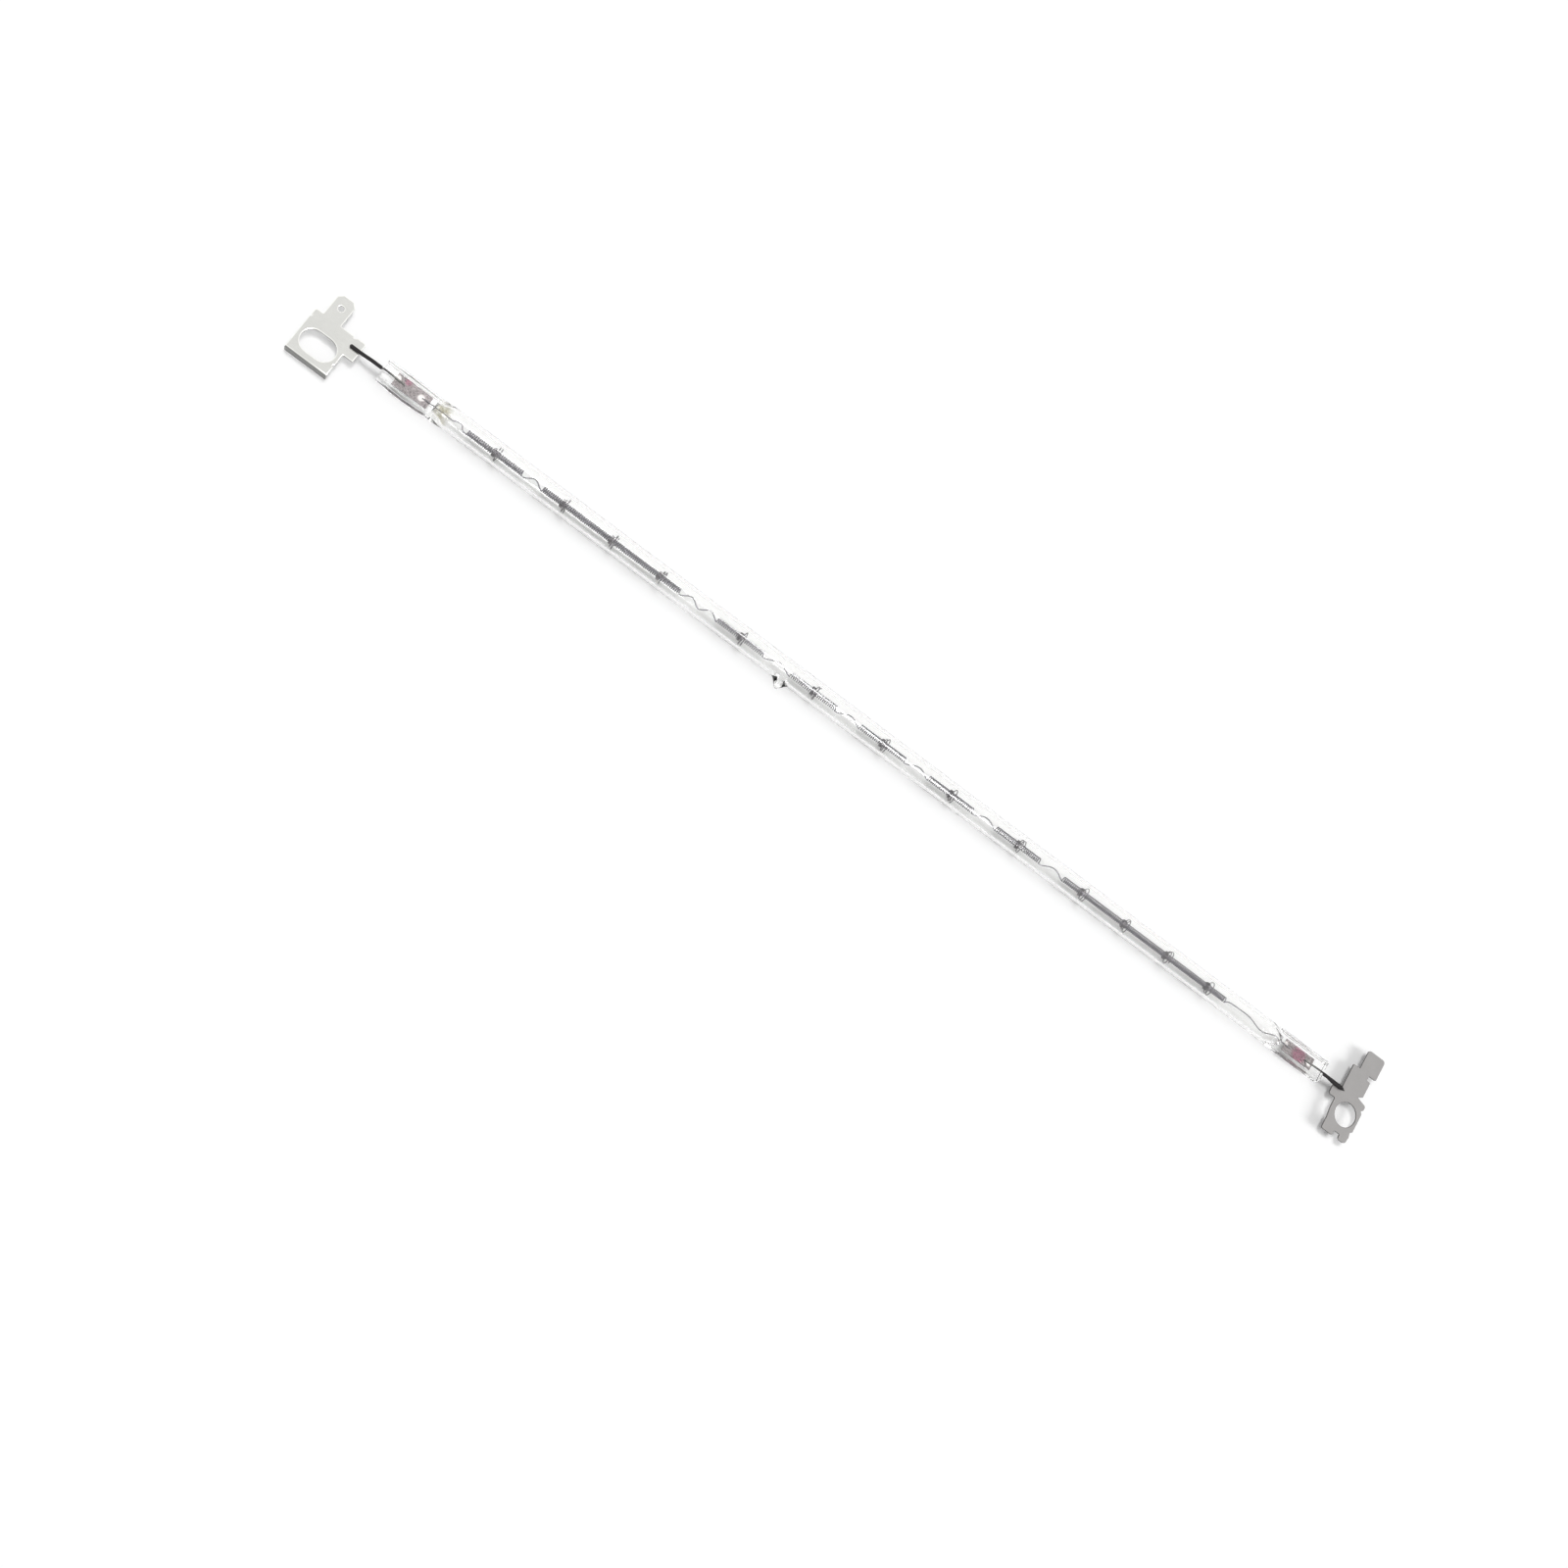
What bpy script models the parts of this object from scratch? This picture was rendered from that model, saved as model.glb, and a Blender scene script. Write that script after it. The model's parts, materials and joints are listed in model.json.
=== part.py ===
"""Tubular quartz fuser lamp, lying as it rests on a table.

A clear quartz tube is pinched flat at both ends. Inside it one tungsten wire is wound into tight
lit segments, with stretched turns between them, and spiral wire supports hold it off the wall.
Each wire leg is welded to a foil in the pinch, each foil to an outer lead, and each lead to a
stamped terminal with a spade blade.

Metres, +Z up, +X along the lamp. The origin is at table height, under the middle of the outline.
"""

import math

import bmesh
import bpy
from mathutils import Matrix, Vector

# Fits between pieces
FIT_GAP = 0.0003          # air between pieces that touch
OVERRUN = 0.0010          # how far a cutter runs past the face that it opens

# Quartz envelope
TUBE_OD = 0.0060
TUBE_WALL = 0.0008
SHOULDER_LENGTH = 0.0050  # from the round tube down to the flat pinch
SEAL_LENGTH = 0.0140
SEAL_WIDTH = 0.0062
SEAL_WEB = 0.0027         # thickness of the flat middle of the pinch
SEAL_RIB = 0.0034         # thickness of the two beads along its edges
SEAL_RIB_WIDTH = 0.0007
SEAL_RIB_SLOPE = 0.0004
SEAL_EDGE_ROUND = 0.0004
TIP_BASE_D = 0.0044       # exhaust tip, where the tube was pumped and sealed off
TIP_HEIGHT = 0.0022
TIP_TAPER = 1.5           # under 1 is a blunt dome, over 1 a drawn-out point
TIP_DISTANCE = 0.0930     # from the coil's first turn

# Tungsten wire
WIRE_D = 0.0003
COIL_OD = 0.0016
COIL_PITCH = 0.0010       # drawn coarser than the real winding
FIRST_LIT_LENGTH = 0.0156  # tightly wound segments, from the left
SECOND_LIT_LENGTH = 0.0398
MIDDLE_LIT_LENGTH = 0.0137
MIDDLE_COUNT = 5
LAST_LIT_LENGTH = 0.0529
FIRST_STRETCH = 0.0058    # stretched turns after each segment
SECOND_STRETCH = 0.0112
THIRD_STRETCH = 0.0082
MIDDLE_STRETCH = 0.0075
LAST_STRETCH = 0.0077
SECOND_STRETCH_TURNS = 2  # every other stretch makes one turn
COLD_LEFT = 0.0045        # round tube beyond the coil at each end
COLD_RIGHT = 0.0137
# The legs' bends: share of the way from the coil to the pinch, then how many coil radii off the axis
LEFT_LEG = ((0.12, -0.5), (0.21, 0.875), (0.36, 0.625), (0.47, 0.125))
RIGHT_LEG = ((0.08, 0.25), (0.27, 0.5), (0.44, 0.375), (0.68, -1.0), (0.87, 0.375))

# Spiral supports
SUPPORT_WIRE_D = 0.00025
SUPPORT_PITCH = 0.00042   # between the turns that hug the coil
SUPPORT_HUG_TURNS = 2.5
SUPPORT_RISE_TURNS = 0.6
SUPPORT_RING_TURNS = 1.1
SECOND_SUPPORTS = 3       # in the two long segments; every other segment has one in its middle
LAST_SUPPORTS = 4
SUPPORT_END = 0.0059      # from a long segment's ends to its outer supports
SUPPORT_OFFSET = 0.0009   # how far all the supports have slid towards +X
SUPPORT_PHASE = 137.5     # degrees that each support is turned from the last

# Foils and leads
FOIL_LENGTH = 0.0095
FOIL_WIDTH = 0.0033
FOIL_THICKNESS = 0.0001
FOIL_INSET = 0.0033       # from the outer end of the pinch
LEAD_D = 0.0009
LEAD_SEAL_D = 0.0005      # thinner stretch inside the pinch
LEAD_NECK = 0.0004        # taper between the two
LEAD_ON_FOIL = 0.0025
LEG_ON_FOIL = 0.0020
LEAD_FREE_LEFT = 0.0064   # from the pinch to the terminal's edge
LEAD_FREE_RIGHT = 0.0050
LEAD_ON_LEFT = 0.0027     # lead lying on the terminal
LEAD_ON_RIGHT = 0.0036
LEAD_POINT = 0.0016       # cut point of the right lead
LEAD_NOSE = 0.0002        # broken edge round the left lead's end
LEAD_TIP_R = 0.0001

# Terminals: heights are from the lead's line, + towards the blade
SHEET = 0.0005
BEND_RADIUS = 0.0005
STAMP_ROUND = 0.0003
BLADE_CHAMFER = 0.00012

LEFT_BODY_WIDTH = 0.0111
LEFT_TAB_REACH = 0.0026   # the ear that carries the lead
LEFT_TAB_UP = 0.0025
LEFT_TAB_DOWN = 0.0028
LEFT_SHOULDER = 0.0024
LEFT_FOLD = 0.0095
LEFT_NICK = 0.0004        # relief nicks in the stamped edges
LEFT_NICK_DOWN = 0.0064   # nick in the inner edge
LEFT_NICK_BACK = 0.0020   # nick in the outer edge, from the shoulder
LEFT_BLADE_WIDTH = 0.0048
LEFT_BLADE_INSET = 0.0020
LEFT_BLADE_TOP = 0.0090
LEFT_BLADE_CUT = 0.0011   # clipped corners of the blade
LEFT_BLADE_HOLE_D = 0.0015
LEFT_BLADE_HOLE_DOWN = 0.0031
LEFT_HOLE_LENGTH = 0.0090
LEFT_HOLE_WIDTH = 0.0061
LEFT_HOLE_DOWN = 0.0046

RIGHT_TAB_REACH = 0.0026
RIGHT_TAB_UP = 0.0006
RIGHT_TAB_DOWN = 0.0029
RIGHT_BODY_WIDTH = 0.0065
RIGHT_SHOULDER = 0.0076
RIGHT_BLADE_WIDTH = 0.0055
RIGHT_BLADE_INSET = 0.0021
RIGHT_BLADE_TOP = 0.0132
RIGHT_BLADE_ROUND = 0.0008
RIGHT_SLOT_TOP = 0.0073   # slot under the blade
RIGHT_SLOT_HEIGHT = 0.0013
RIGHT_SLOT_DEPTH = 0.0012
RIGHT_WAIST_TOP = 0.0016  # wedge cut above the eye
RIGHT_WAIST_DEPTH = 0.0014
RIGHT_WAIST_DROP = 0.0008
RIGHT_EYE_DOWN = 0.0050
RIGHT_EYE_FROM_BODY = 0.0043
RIGHT_EYE_D = 0.0065
RIGHT_EYE_WALL = 0.0009
RIGHT_EAR_REACH = 0.0040  # rounded ear beside the eye, from the eye's middle
RIGHT_EAR_DOWN = 0.0006
RIGHT_BOTTOM = 0.0116
RIGHT_FOOT_REACH = 0.0044
RIGHT_NOTCH_WIDTH = 0.0019
RIGHT_NOTCH_DEPTH = 0.0014
RIGHT_NOTCH_SHIFT = 0.0001
RIGHT_NICK = 0.0006       # small nicks beside the ear and over the outer foot
RIGHT_NICK_DOWN = 0.0083

# Facets
TUBE_SIDES = 24
ROD_SIDES = 12
ARC_STEPS = 4
HOLE_STEPS = 24
COIL_STEPS = 5
HELIX_STEPS = 8
SHOULDER_STEPS = 5
TIP_STEPS = 6

# The coil's segments from the left, the supports in each, and the stretches between them
SEGMENTS = (FIRST_LIT_LENGTH, SECOND_LIT_LENGTH, *[MIDDLE_LIT_LENGTH] * MIDDLE_COUNT, LAST_LIT_LENGTH)
SEGMENT_SUPPORTS = (1, SECOND_SUPPORTS, *[1] * MIDDLE_COUNT, LAST_SUPPORTS)
STRETCHES = (FIRST_STRETCH, SECOND_STRETCH, THIRD_STRETCH,
             *[MIDDLE_STRETCH] * (MIDDLE_COUNT - 2), LAST_STRETCH)
STRETCH_TURNS = (1, SECOND_STRETCH_TURNS, *[1] * MIDDLE_COUNT)

# Places worked out from the sizes above, along the lamp
BORE_R = TUBE_OD / 2 - TUBE_WALL
COIL_R = COIL_OD / 2
HEATED_LENGTH = sum(SEGMENTS) + sum(STRETCHES)
LEFT_TERMINAL_WIDTH = LEFT_BODY_WIDTH + LEFT_TAB_REACH
RIGHT_TERMINAL_WIDTH = RIGHT_TAB_REACH + RIGHT_EYE_FROM_BODY + RIGHT_EAR_REACH
END_LENGTH = SEAL_LENGTH + SHOULDER_LENGTH
GLASS_LENGTH = 2 * END_LENGTH + COLD_LEFT + HEATED_LENGTH + COLD_RIGHT
OVERALL_LENGTH = (LEFT_TERMINAL_WIDTH + LEAD_FREE_LEFT + GLASS_LENGTH
                  + LEAD_FREE_RIGHT + RIGHT_TERMINAL_WIDTH)
LEFT_TERMINAL_EDGE = LEFT_TERMINAL_WIDTH - OVERALL_LENGTH / 2
GLASS_LEFT = LEFT_TERMINAL_EDGE + LEAD_FREE_LEFT
GLASS_RIGHT = GLASS_LEFT + GLASS_LENGTH
RIGHT_TERMINAL_EDGE = GLASS_RIGHT + LEAD_FREE_RIGHT
COIL_LEFT = GLASS_LEFT + END_LENGTH + COLD_LEFT
COIL_RIGHT = COIL_LEFT + HEATED_LENGTH
AXIS_Y = (RIGHT_BOTTOM - RIGHT_BLADE_TOP) / 2
AXIS_Z = TUBE_OD / 2 * math.cos(math.pi / TUBE_SIDES)  # the tube lies on its lowest facet
SHEET_TOP = -LEAD_D / 2 - FIT_GAP
FOIL_TOP = -LEAD_SEAL_D / 2 - FIT_GAP


def clear_scene():
    """Remove whatever the file holds."""
    for old in list(bpy.data.objects):
        bpy.data.objects.remove(old, do_unlink=True)


def finish(name, colour, roughness, metallic, alpha=1.0):
    """A plain material for one sub-part."""
    material = bpy.data.materials.new(name)
    material.use_nodes = True
    shader = material.node_tree.nodes["Principled BSDF"]
    shader.inputs["Base Color"].default_value = (*colour, 1.0)
    shader.inputs["Roughness"].default_value = roughness
    shader.inputs["Metallic"].default_value = metallic
    shader.inputs["Alpha"].default_value = alpha
    return material


def add_object(name, data, material, parent, place=(0.0, 0.0, 0.0), turn=(0.0, 0.0, 0.0)):
    """Put a mesh or curve in the scene, under the lamp's axis."""
    item = bpy.data.objects.new(name, data)
    bpy.context.scene.collection.objects.link(item)
    item.parent = parent
    item.location = place
    item.rotation_euler = turn
    if material is not None and not data.materials:
        data.materials.append(material)
    return item


def mesh_of(name, bm, smooth_angle=35.0):
    """Turn a bmesh into a mesh, with its faces outwards and its round parts smooth."""
    bmesh.ops.recalc_face_normals(bm, faces=bm.faces)
    mesh = bpy.data.meshes.new(name)
    bm.to_mesh(mesh)
    bm.free()
    mesh.shade_smooth()
    mesh.set_sharp_from_angle(angle=math.radians(smooth_angle))
    return mesh


def as_guide(item):
    """A cutter or an added lump: used by a modifier, and not a piece itself."""
    item.hide_render = True
    item.display_type = "WIRE"
    return item


def add_boolean(target, operation, guide):
    """Cut or join with a guide."""
    step = target.modifiers.new(guide.name, "BOOLEAN")
    step.operation = operation
    step.solver = "EXACT"
    step.object = guide


def turned(name, stations, sides):
    """A round solid about X from (x, radius) stations; a radius of 0 closes it to a point."""
    bm = bmesh.new()
    verts = [bm.verts.new((x, 0.0, radius)) for x, radius in stations]
    edges = [bm.edges.new(pair) for pair in zip(verts, verts[1:])]
    bmesh.ops.spin(bm, geom=verts + edges, cent=(0, 0, 0), axis=(1, 0, 0),
                   angle=2 * math.pi, steps=sides, use_merge=True)
    bmesh.ops.remove_doubles(bm, verts=bm.verts, dist=1e-7)
    return mesh_of(name, bm)


def wire(name, points, diameter):
    """A round wire through points, with closed ends."""
    curve = bpy.data.curves.new(name, "CURVE")
    curve.dimensions = "3D"
    curve.bevel_depth = diameter / 2
    curve.bevel_resolution = 0
    curve.use_fill_caps = True
    spline = curve.splines.new("POLY")
    spline.points.add(len(points) - 1)
    for target, point in zip(spline.points, points):
        target.co = (*point, 1.0)
    return curve


def ring_point(x, radius, angle):
    """A point on a circle about X."""
    return (x, radius * math.cos(angle), radius * math.sin(angle))


def smooth_path(points, steps):
    """A smooth curve through points, with the given number of steps between each two."""
    path = []
    padded = [points[0], *points, points[-1]]
    for before, start, end, after in zip(padded, padded[1:], padded[2:], padded[3:]):
        for step in range(steps):
            t = step / steps
            path.append(tuple(
                0.5 * (2 * b + (c - a) * t + (2 * a - 5 * b + 4 * c - d) * t * t
                       + (3 * b - a - 3 * c + d) * t ** 3)
                for a, b, c, d in zip(before, start, end, after)))
    path.append(points[-1])
    return path


def rounded_outline(corners):
    """Points of a closed outline; each corner is (x, y, radius of its round)."""
    outline = []
    count = len(corners)
    for index, (x, y, radius) in enumerate(corners):
        corner = Vector((x, y))
        back = Vector(corners[index - 1][:2]) - corner
        ahead = Vector(corners[(index + 1) % count][:2]) - corner
        if radius <= 0.0:
            outline.append(corner)
            continue
        half = back.angle(ahead) / 2
        reach = min(radius / math.tan(half), back.length * 0.49, ahead.length * 0.49)
        bow = reach * math.tan(half)
        start = corner + back.normalized() * reach
        end = corner + ahead.normalized() * reach
        centre = corner + (back.normalized() + ahead.normalized()).normalized() * bow / math.sin(half)
        first = start - centre
        sweep = first.angle_signed(end - centre)
        for step in range(ARC_STEPS + 1):
            arm = first.copy()
            arm.rotate(Matrix.Rotation(-sweep * step / ARC_STEPS, 2))
            outline.append(centre + arm)
    return [(point.x, point.y) for point in outline]


def hole_outline(centre, length, width):
    """An obround along X, or a round hole where length equals width."""
    outline = []
    reach = (length - width) / 2
    arc = HOLE_STEPS // 2
    for side in (1, -1):
        for step in range(arc + 1 if reach > 0.0 else arc):
            angle = side * math.pi / 2 - math.pi * step / arc
            outline.append((centre[0] + side * reach + math.cos(angle) * width / 2,
                            centre[1] + math.sin(angle) * width / 2))
    return outline


def flat_sheet(outline, holes):
    """A flat face at z = 0 with holes in it, as a bmesh."""
    bm = bmesh.new()
    edges = []
    for loop in (outline, *holes):
        verts = [bm.verts.new((x, y, 0.0)) for x, y in loop]
        edges += [bm.edges.new((verts[i - 1], verts[i])) for i in range(len(verts))]
    bmesh.ops.triangle_fill(bm, use_beauty=True, use_dissolve=False, edges=edges, normal=(0, 0, 1))
    return bm


def thicken(bm, thickness):
    """Give a sheet its thickness below its upper face."""
    bmesh.ops.recalc_face_normals(bm, faces=bm.faces)
    if sum(face.normal.z * face.calc_area() for face in bm.faces) < 0.0:
        bmesh.ops.reverse_faces(bm, faces=bm.faces)
    bmesh.ops.solidify(bm, geom=bm.faces, thickness=thickness)


def chamfer_blade(bm, above):
    """Break the edges of the blade on both faces."""
    rims = [edge for edge in bm.edges
            if all(vert.co.y > above for vert in edge.verts)
            and len(edge.link_faces) == 2 and edge.calc_face_angle(0.0) > math.radians(80)
            and abs(edge.verts[0].co.z - edge.verts[1].co.z) < SHEET / 4]
    bmesh.ops.bevel(bm, geom=rims, offset=BLADE_CHAMFER, segments=1, profile=0.5, affect="EDGES",
                    material=-1, clamp_overlap=True)


def seal_section(x):
    """The pinch's outline at x: a flat web with a bead along each edge."""
    half = SEAL_WIDTH / 2
    web = SEAL_WEB / 2
    bead = SEAL_RIB / 2
    inner = half - SEAL_RIB_WIDTH
    quarter = [
        (half, bead / 3),
        (half, bead - SEAL_EDGE_ROUND),
        (half - SEAL_EDGE_ROUND, bead),
        (inner, bead),
        (inner - SEAL_RIB_SLOPE, web),
        (half / 3, web),
    ]
    upper = quarter + [(-y, z) for y, z in reversed(quarter)]
    lower = [(-y, -z) for y, z in upper]
    return [(x, y, z) for y, z in upper + lower]


def tube_section(x):
    """The round tube's outline at x, point for point against the pinch's."""
    return [ring_point(x, TUBE_OD / 2, 2 * math.pi * (step + 0.5) / TUBE_SIDES)
            for step in range(TUBE_SIDES)]


def envelope_sections():
    """Outlines from one end of the glass to the other."""
    sections = []
    for end, inwards in ((GLASS_LEFT, 1), (GLASS_RIGHT, -1)):
        side = [seal_section(end)]
        for step in range(SHOULDER_STEPS + 1):
            share = step / SHOULDER_STEPS
            x = end + inwards * (SEAL_LENGTH + SHOULDER_LENGTH * share)
            blend = share * share * (3 - 2 * share)
            side.append([(x, y0 + (y1 - y0) * blend, z0 + (z1 - z0) * blend)
                         for (_, y0, z0), (_, y1, z1) in zip(seal_section(x), tube_section(x))])
        sections.append(side)
    return sections[0] + sections[1][::-1]


def make_envelope(parent, glass):
    """Tube, pinches and exhaust tip as one piece of quartz, with its bore and passages cut."""
    bm = bmesh.new()
    loops = []
    for section in envelope_sections():
        verts = [bm.verts.new(point) for point in section]
        loops.append([bm.edges.new((verts[i - 1], verts[i])) for i in range(len(verts))])
    for first, second in zip(loops, loops[1:]):
        bmesh.ops.bridge_loops(bm, edges=first + second)
    for loop in (loops[0], loops[-1]):
        bmesh.ops.contextual_create(bm, geom=loop)
    envelope = add_object("quartz_envelope", mesh_of("quartz_envelope", bm), glass, parent)

    root = math.sqrt(AXIS_Z ** 2 - (TIP_BASE_D / 2) ** 2) - FIT_GAP
    drawn = TUBE_OD / 2 + TIP_HEIGHT - root
    dome = [(root + drawn * math.sin(math.pi / 2 * step / TIP_STEPS),
             TIP_BASE_D / 2 * math.cos(math.pi / 2 * step / TIP_STEPS) ** TIP_TAPER)
            for step in range(TIP_STEPS)]
    tip = turned("exhaust_tip_guide", [(root, 0.0), *dome, (root + drawn, 0.0)], ROD_SIDES)
    lump = add_object("exhaust_tip_guide", tip, None, parent,
                      (COIL_LEFT + TIP_DISTANCE, 0, 0), (0, 0, -math.pi / 2))
    add_boolean(envelope, "UNION", as_guide(lump))

    leg_r = WIRE_D / 2 + FIT_GAP
    lead_r = LEAD_SEAL_D / 2 + FIT_GAP
    bore = [
        (GLASS_LEFT + FOIL_INSET + FOIL_LENGTH - LEG_ON_FOIL - FIT_GAP, leg_r),
        (GLASS_LEFT + SEAL_LENGTH, leg_r),
        (GLASS_LEFT + END_LENGTH, BORE_R),
        (GLASS_RIGHT - END_LENGTH, BORE_R),
        (GLASS_RIGHT - SEAL_LENGTH, leg_r),
        (GLASS_RIGHT - FOIL_INSET - FOIL_LENGTH + LEG_ON_FOIL + FIT_GAP, leg_r),
    ]
    cuts = [("bore_guide", bore, TUBE_SIDES)]
    lead_end = FOIL_INSET + LEAD_ON_FOIL + FIT_GAP
    cuts.append(("lead_hole_left_guide",
                 [(GLASS_LEFT - OVERRUN, lead_r), (GLASS_LEFT + lead_end, lead_r)], ROD_SIDES))
    cuts.append(("lead_hole_right_guide",
                 [(GLASS_RIGHT - lead_end, lead_r), (GLASS_RIGHT + OVERRUN, lead_r)], ROD_SIDES))
    for name, stations, sides in cuts:
        closed = [(stations[0][0], 0.0), *stations, (stations[-1][0], 0.0)]
        cutter = add_object(name, turned(name, closed, sides), None, parent)
        add_boolean(envelope, "DIFFERENCE", as_guide(cutter))
    for name, x in foil_places():
        cutter = add_object(name + "_slot_guide", foil_mesh(name, FIT_GAP), None, parent, (x, 0, 0))
        add_boolean(envelope, "DIFFERENCE", as_guide(cutter))


def foil_places():
    """Each foil's name and the middle of its length."""
    middle = FOIL_INSET + FOIL_LENGTH / 2
    return (("seal_foil_left", GLASS_LEFT + middle), ("seal_foil_right", GLASS_RIGHT - middle))


def foil_mesh(name, margin):
    """A foil, or the slot round it: thick along its middle and thin at its edges."""
    length = FOIL_LENGTH / 2 + margin
    width = FOIL_WIDTH / 2 + margin
    middle = FOIL_THICKNESS / 2 + margin
    edge = FOIL_THICKNESS / 4 + margin
    height = FOIL_TOP - FOIL_THICKNESS / 2
    section = [(width, edge), (0.0, middle), (-width, edge), (-width, -edge), (0.0, -middle), (width, -edge)]
    bm = bmesh.new()
    face = bm.faces.new([bm.verts.new((-length, y, height + z)) for y, z in section])
    grown = bmesh.ops.extrude_face_region(bm, geom=[face])
    moved = [item for item in grown["geom"] if isinstance(item, bmesh.types.BMVert)]
    bmesh.ops.translate(bm, verts=moved, vec=(2 * length, 0, 0))
    return mesh_of(name, bm)


def make_foils(parent, foil):
    """The two sealing foils."""
    for name, x in foil_places():
        add_object(name, foil_mesh(name, 0.0), foil, parent, (x, 0, 0))


def filament_path():
    """The whole wire: left leg, tight segments with stretched turns between, right leg."""
    radius = COIL_R - WIRE_D / 2
    weld_left = GLASS_LEFT + FOIL_INSET + FOIL_LENGTH - LEG_ON_FOIL
    weld_right = GLASS_RIGHT - FOIL_INSET - FOIL_LENGTH + LEG_ON_FOIL
    coil = []
    angle = math.pi
    x = COIL_LEFT
    for length, stretch, stretch_turns in zip(SEGMENTS, (*STRETCHES, 0.0), (*STRETCH_TURNS, 0)):
        turns = max(1, round(length / COIL_PITCH))
        for run, count, steps in ((length, turns, COIL_STEPS), (stretch, stretch_turns, HELIX_STEPS)):
            for _ in range(count * steps):
                coil.append(ring_point(x, radius, angle))
                x += run / (count * steps)
                angle += 2 * math.pi / steps
    coil.append(ring_point(COIL_RIGHT, radius, angle))
    left = GLASS_LEFT + SEAL_LENGTH
    left_leg = [(COIL_LEFT + (left - COIL_LEFT) * share, off * COIL_R, 0.0) for share, off in LEFT_LEG]
    left_leg = [(weld_left, 0.0, 0.0), (left, 0.0, 0.0), *left_leg[::-1], coil[0]]
    right = GLASS_RIGHT - SEAL_LENGTH
    right_leg = [(COIL_RIGHT + (right - COIL_RIGHT) * share, off * COIL_R, 0.0) for share, off in RIGHT_LEG]
    right_leg = [coil[-1], *right_leg, (right, 0.0, 0.0), (weld_right, 0.0, 0.0)]
    return smooth_path(left_leg, ARC_STEPS)[:-1] + coil + smooth_path(right_leg, ARC_STEPS)[1:]


def support_places():
    """Where each support's ring stands along the lamp."""
    places = []
    start = COIL_LEFT
    for length, count, stretch in zip(SEGMENTS, SEGMENT_SUPPORTS, (*STRETCHES, 0.0)):
        spacing = (length - 2 * SUPPORT_END) / max(1, count - 1)
        first = start + (length - spacing * (count - 1)) / 2 + SUPPORT_OFFSET
        places += [first + spacing * step for step in range(count)]
        start += length + stretch
    return places


def support_path():
    """One support: turns that hug the coil, then a rise to a ring just inside the bore."""
    hug = COIL_R + FIT_GAP + SUPPORT_WIRE_D / 2
    ring = BORE_R - FIT_GAP - SUPPORT_WIRE_D / 2
    total = SUPPORT_HUG_TURNS + SUPPORT_RISE_TURNS + SUPPORT_RING_TURNS
    points = []
    for step in range(round(total * HELIX_STEPS) + 1):
        turns = step / HELIX_STEPS
        rise = min(1.0, max(0.0, (turns - SUPPORT_HUG_TURNS) / SUPPORT_RISE_TURNS))
        radius = hug + (ring - hug) * rise
        x = (turns - total + SUPPORT_RING_TURNS / 2) * SUPPORT_PITCH
        points.append(ring_point(x, radius, 2 * math.pi * turns))
    return points


def make_filament(parent, tungsten, support_metal):
    """The filament and its supports."""
    add_object("filament", wire("filament", filament_path(), WIRE_D), tungsten, parent)
    spiral = wire("filament_support", support_path(), SUPPORT_WIRE_D)
    for index, x in enumerate(support_places()):
        turn = (math.radians(index * SUPPORT_PHASE), 0, 0)
        add_object(f"filament_support_{index + 1:02d}", spiral, support_metal, parent, (x, 0, 0), turn)


def make_leads(parent, lead_metal):
    """Outer leads: thin in the pinch, full size outside it, lying on the terminals."""
    thin = LEAD_SEAL_D / 2
    full = LEAD_D / 2
    inner = FOIL_INSET + LEAD_ON_FOIL
    ends = (
        ("outer_lead_left", GLASS_LEFT, -1, LEAD_FREE_LEFT + LEAD_ON_LEFT,
         ((LEAD_NOSE, full), (0.0, full - LEAD_NOSE))),
        ("outer_lead_right", GLASS_RIGHT, 1, LEAD_FREE_RIGHT + LEAD_ON_RIGHT,
         ((LEAD_POINT, full), (0.0, LEAD_TIP_R))),
    )
    for name, end, outwards, reach, nose in ends:
        stations = [(-inner, 0.0), (-inner, thin), (FIT_GAP, thin), (FIT_GAP + LEAD_NECK, full)]
        stations += [(reach - back, radius) for back, radius in nose]
        stations.append((reach, 0.0))
        placed = [(end + outwards * x, radius) for x, radius in stations]
        add_object(name, turned(name, placed, ROD_SIDES), lead_metal, parent)


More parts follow.
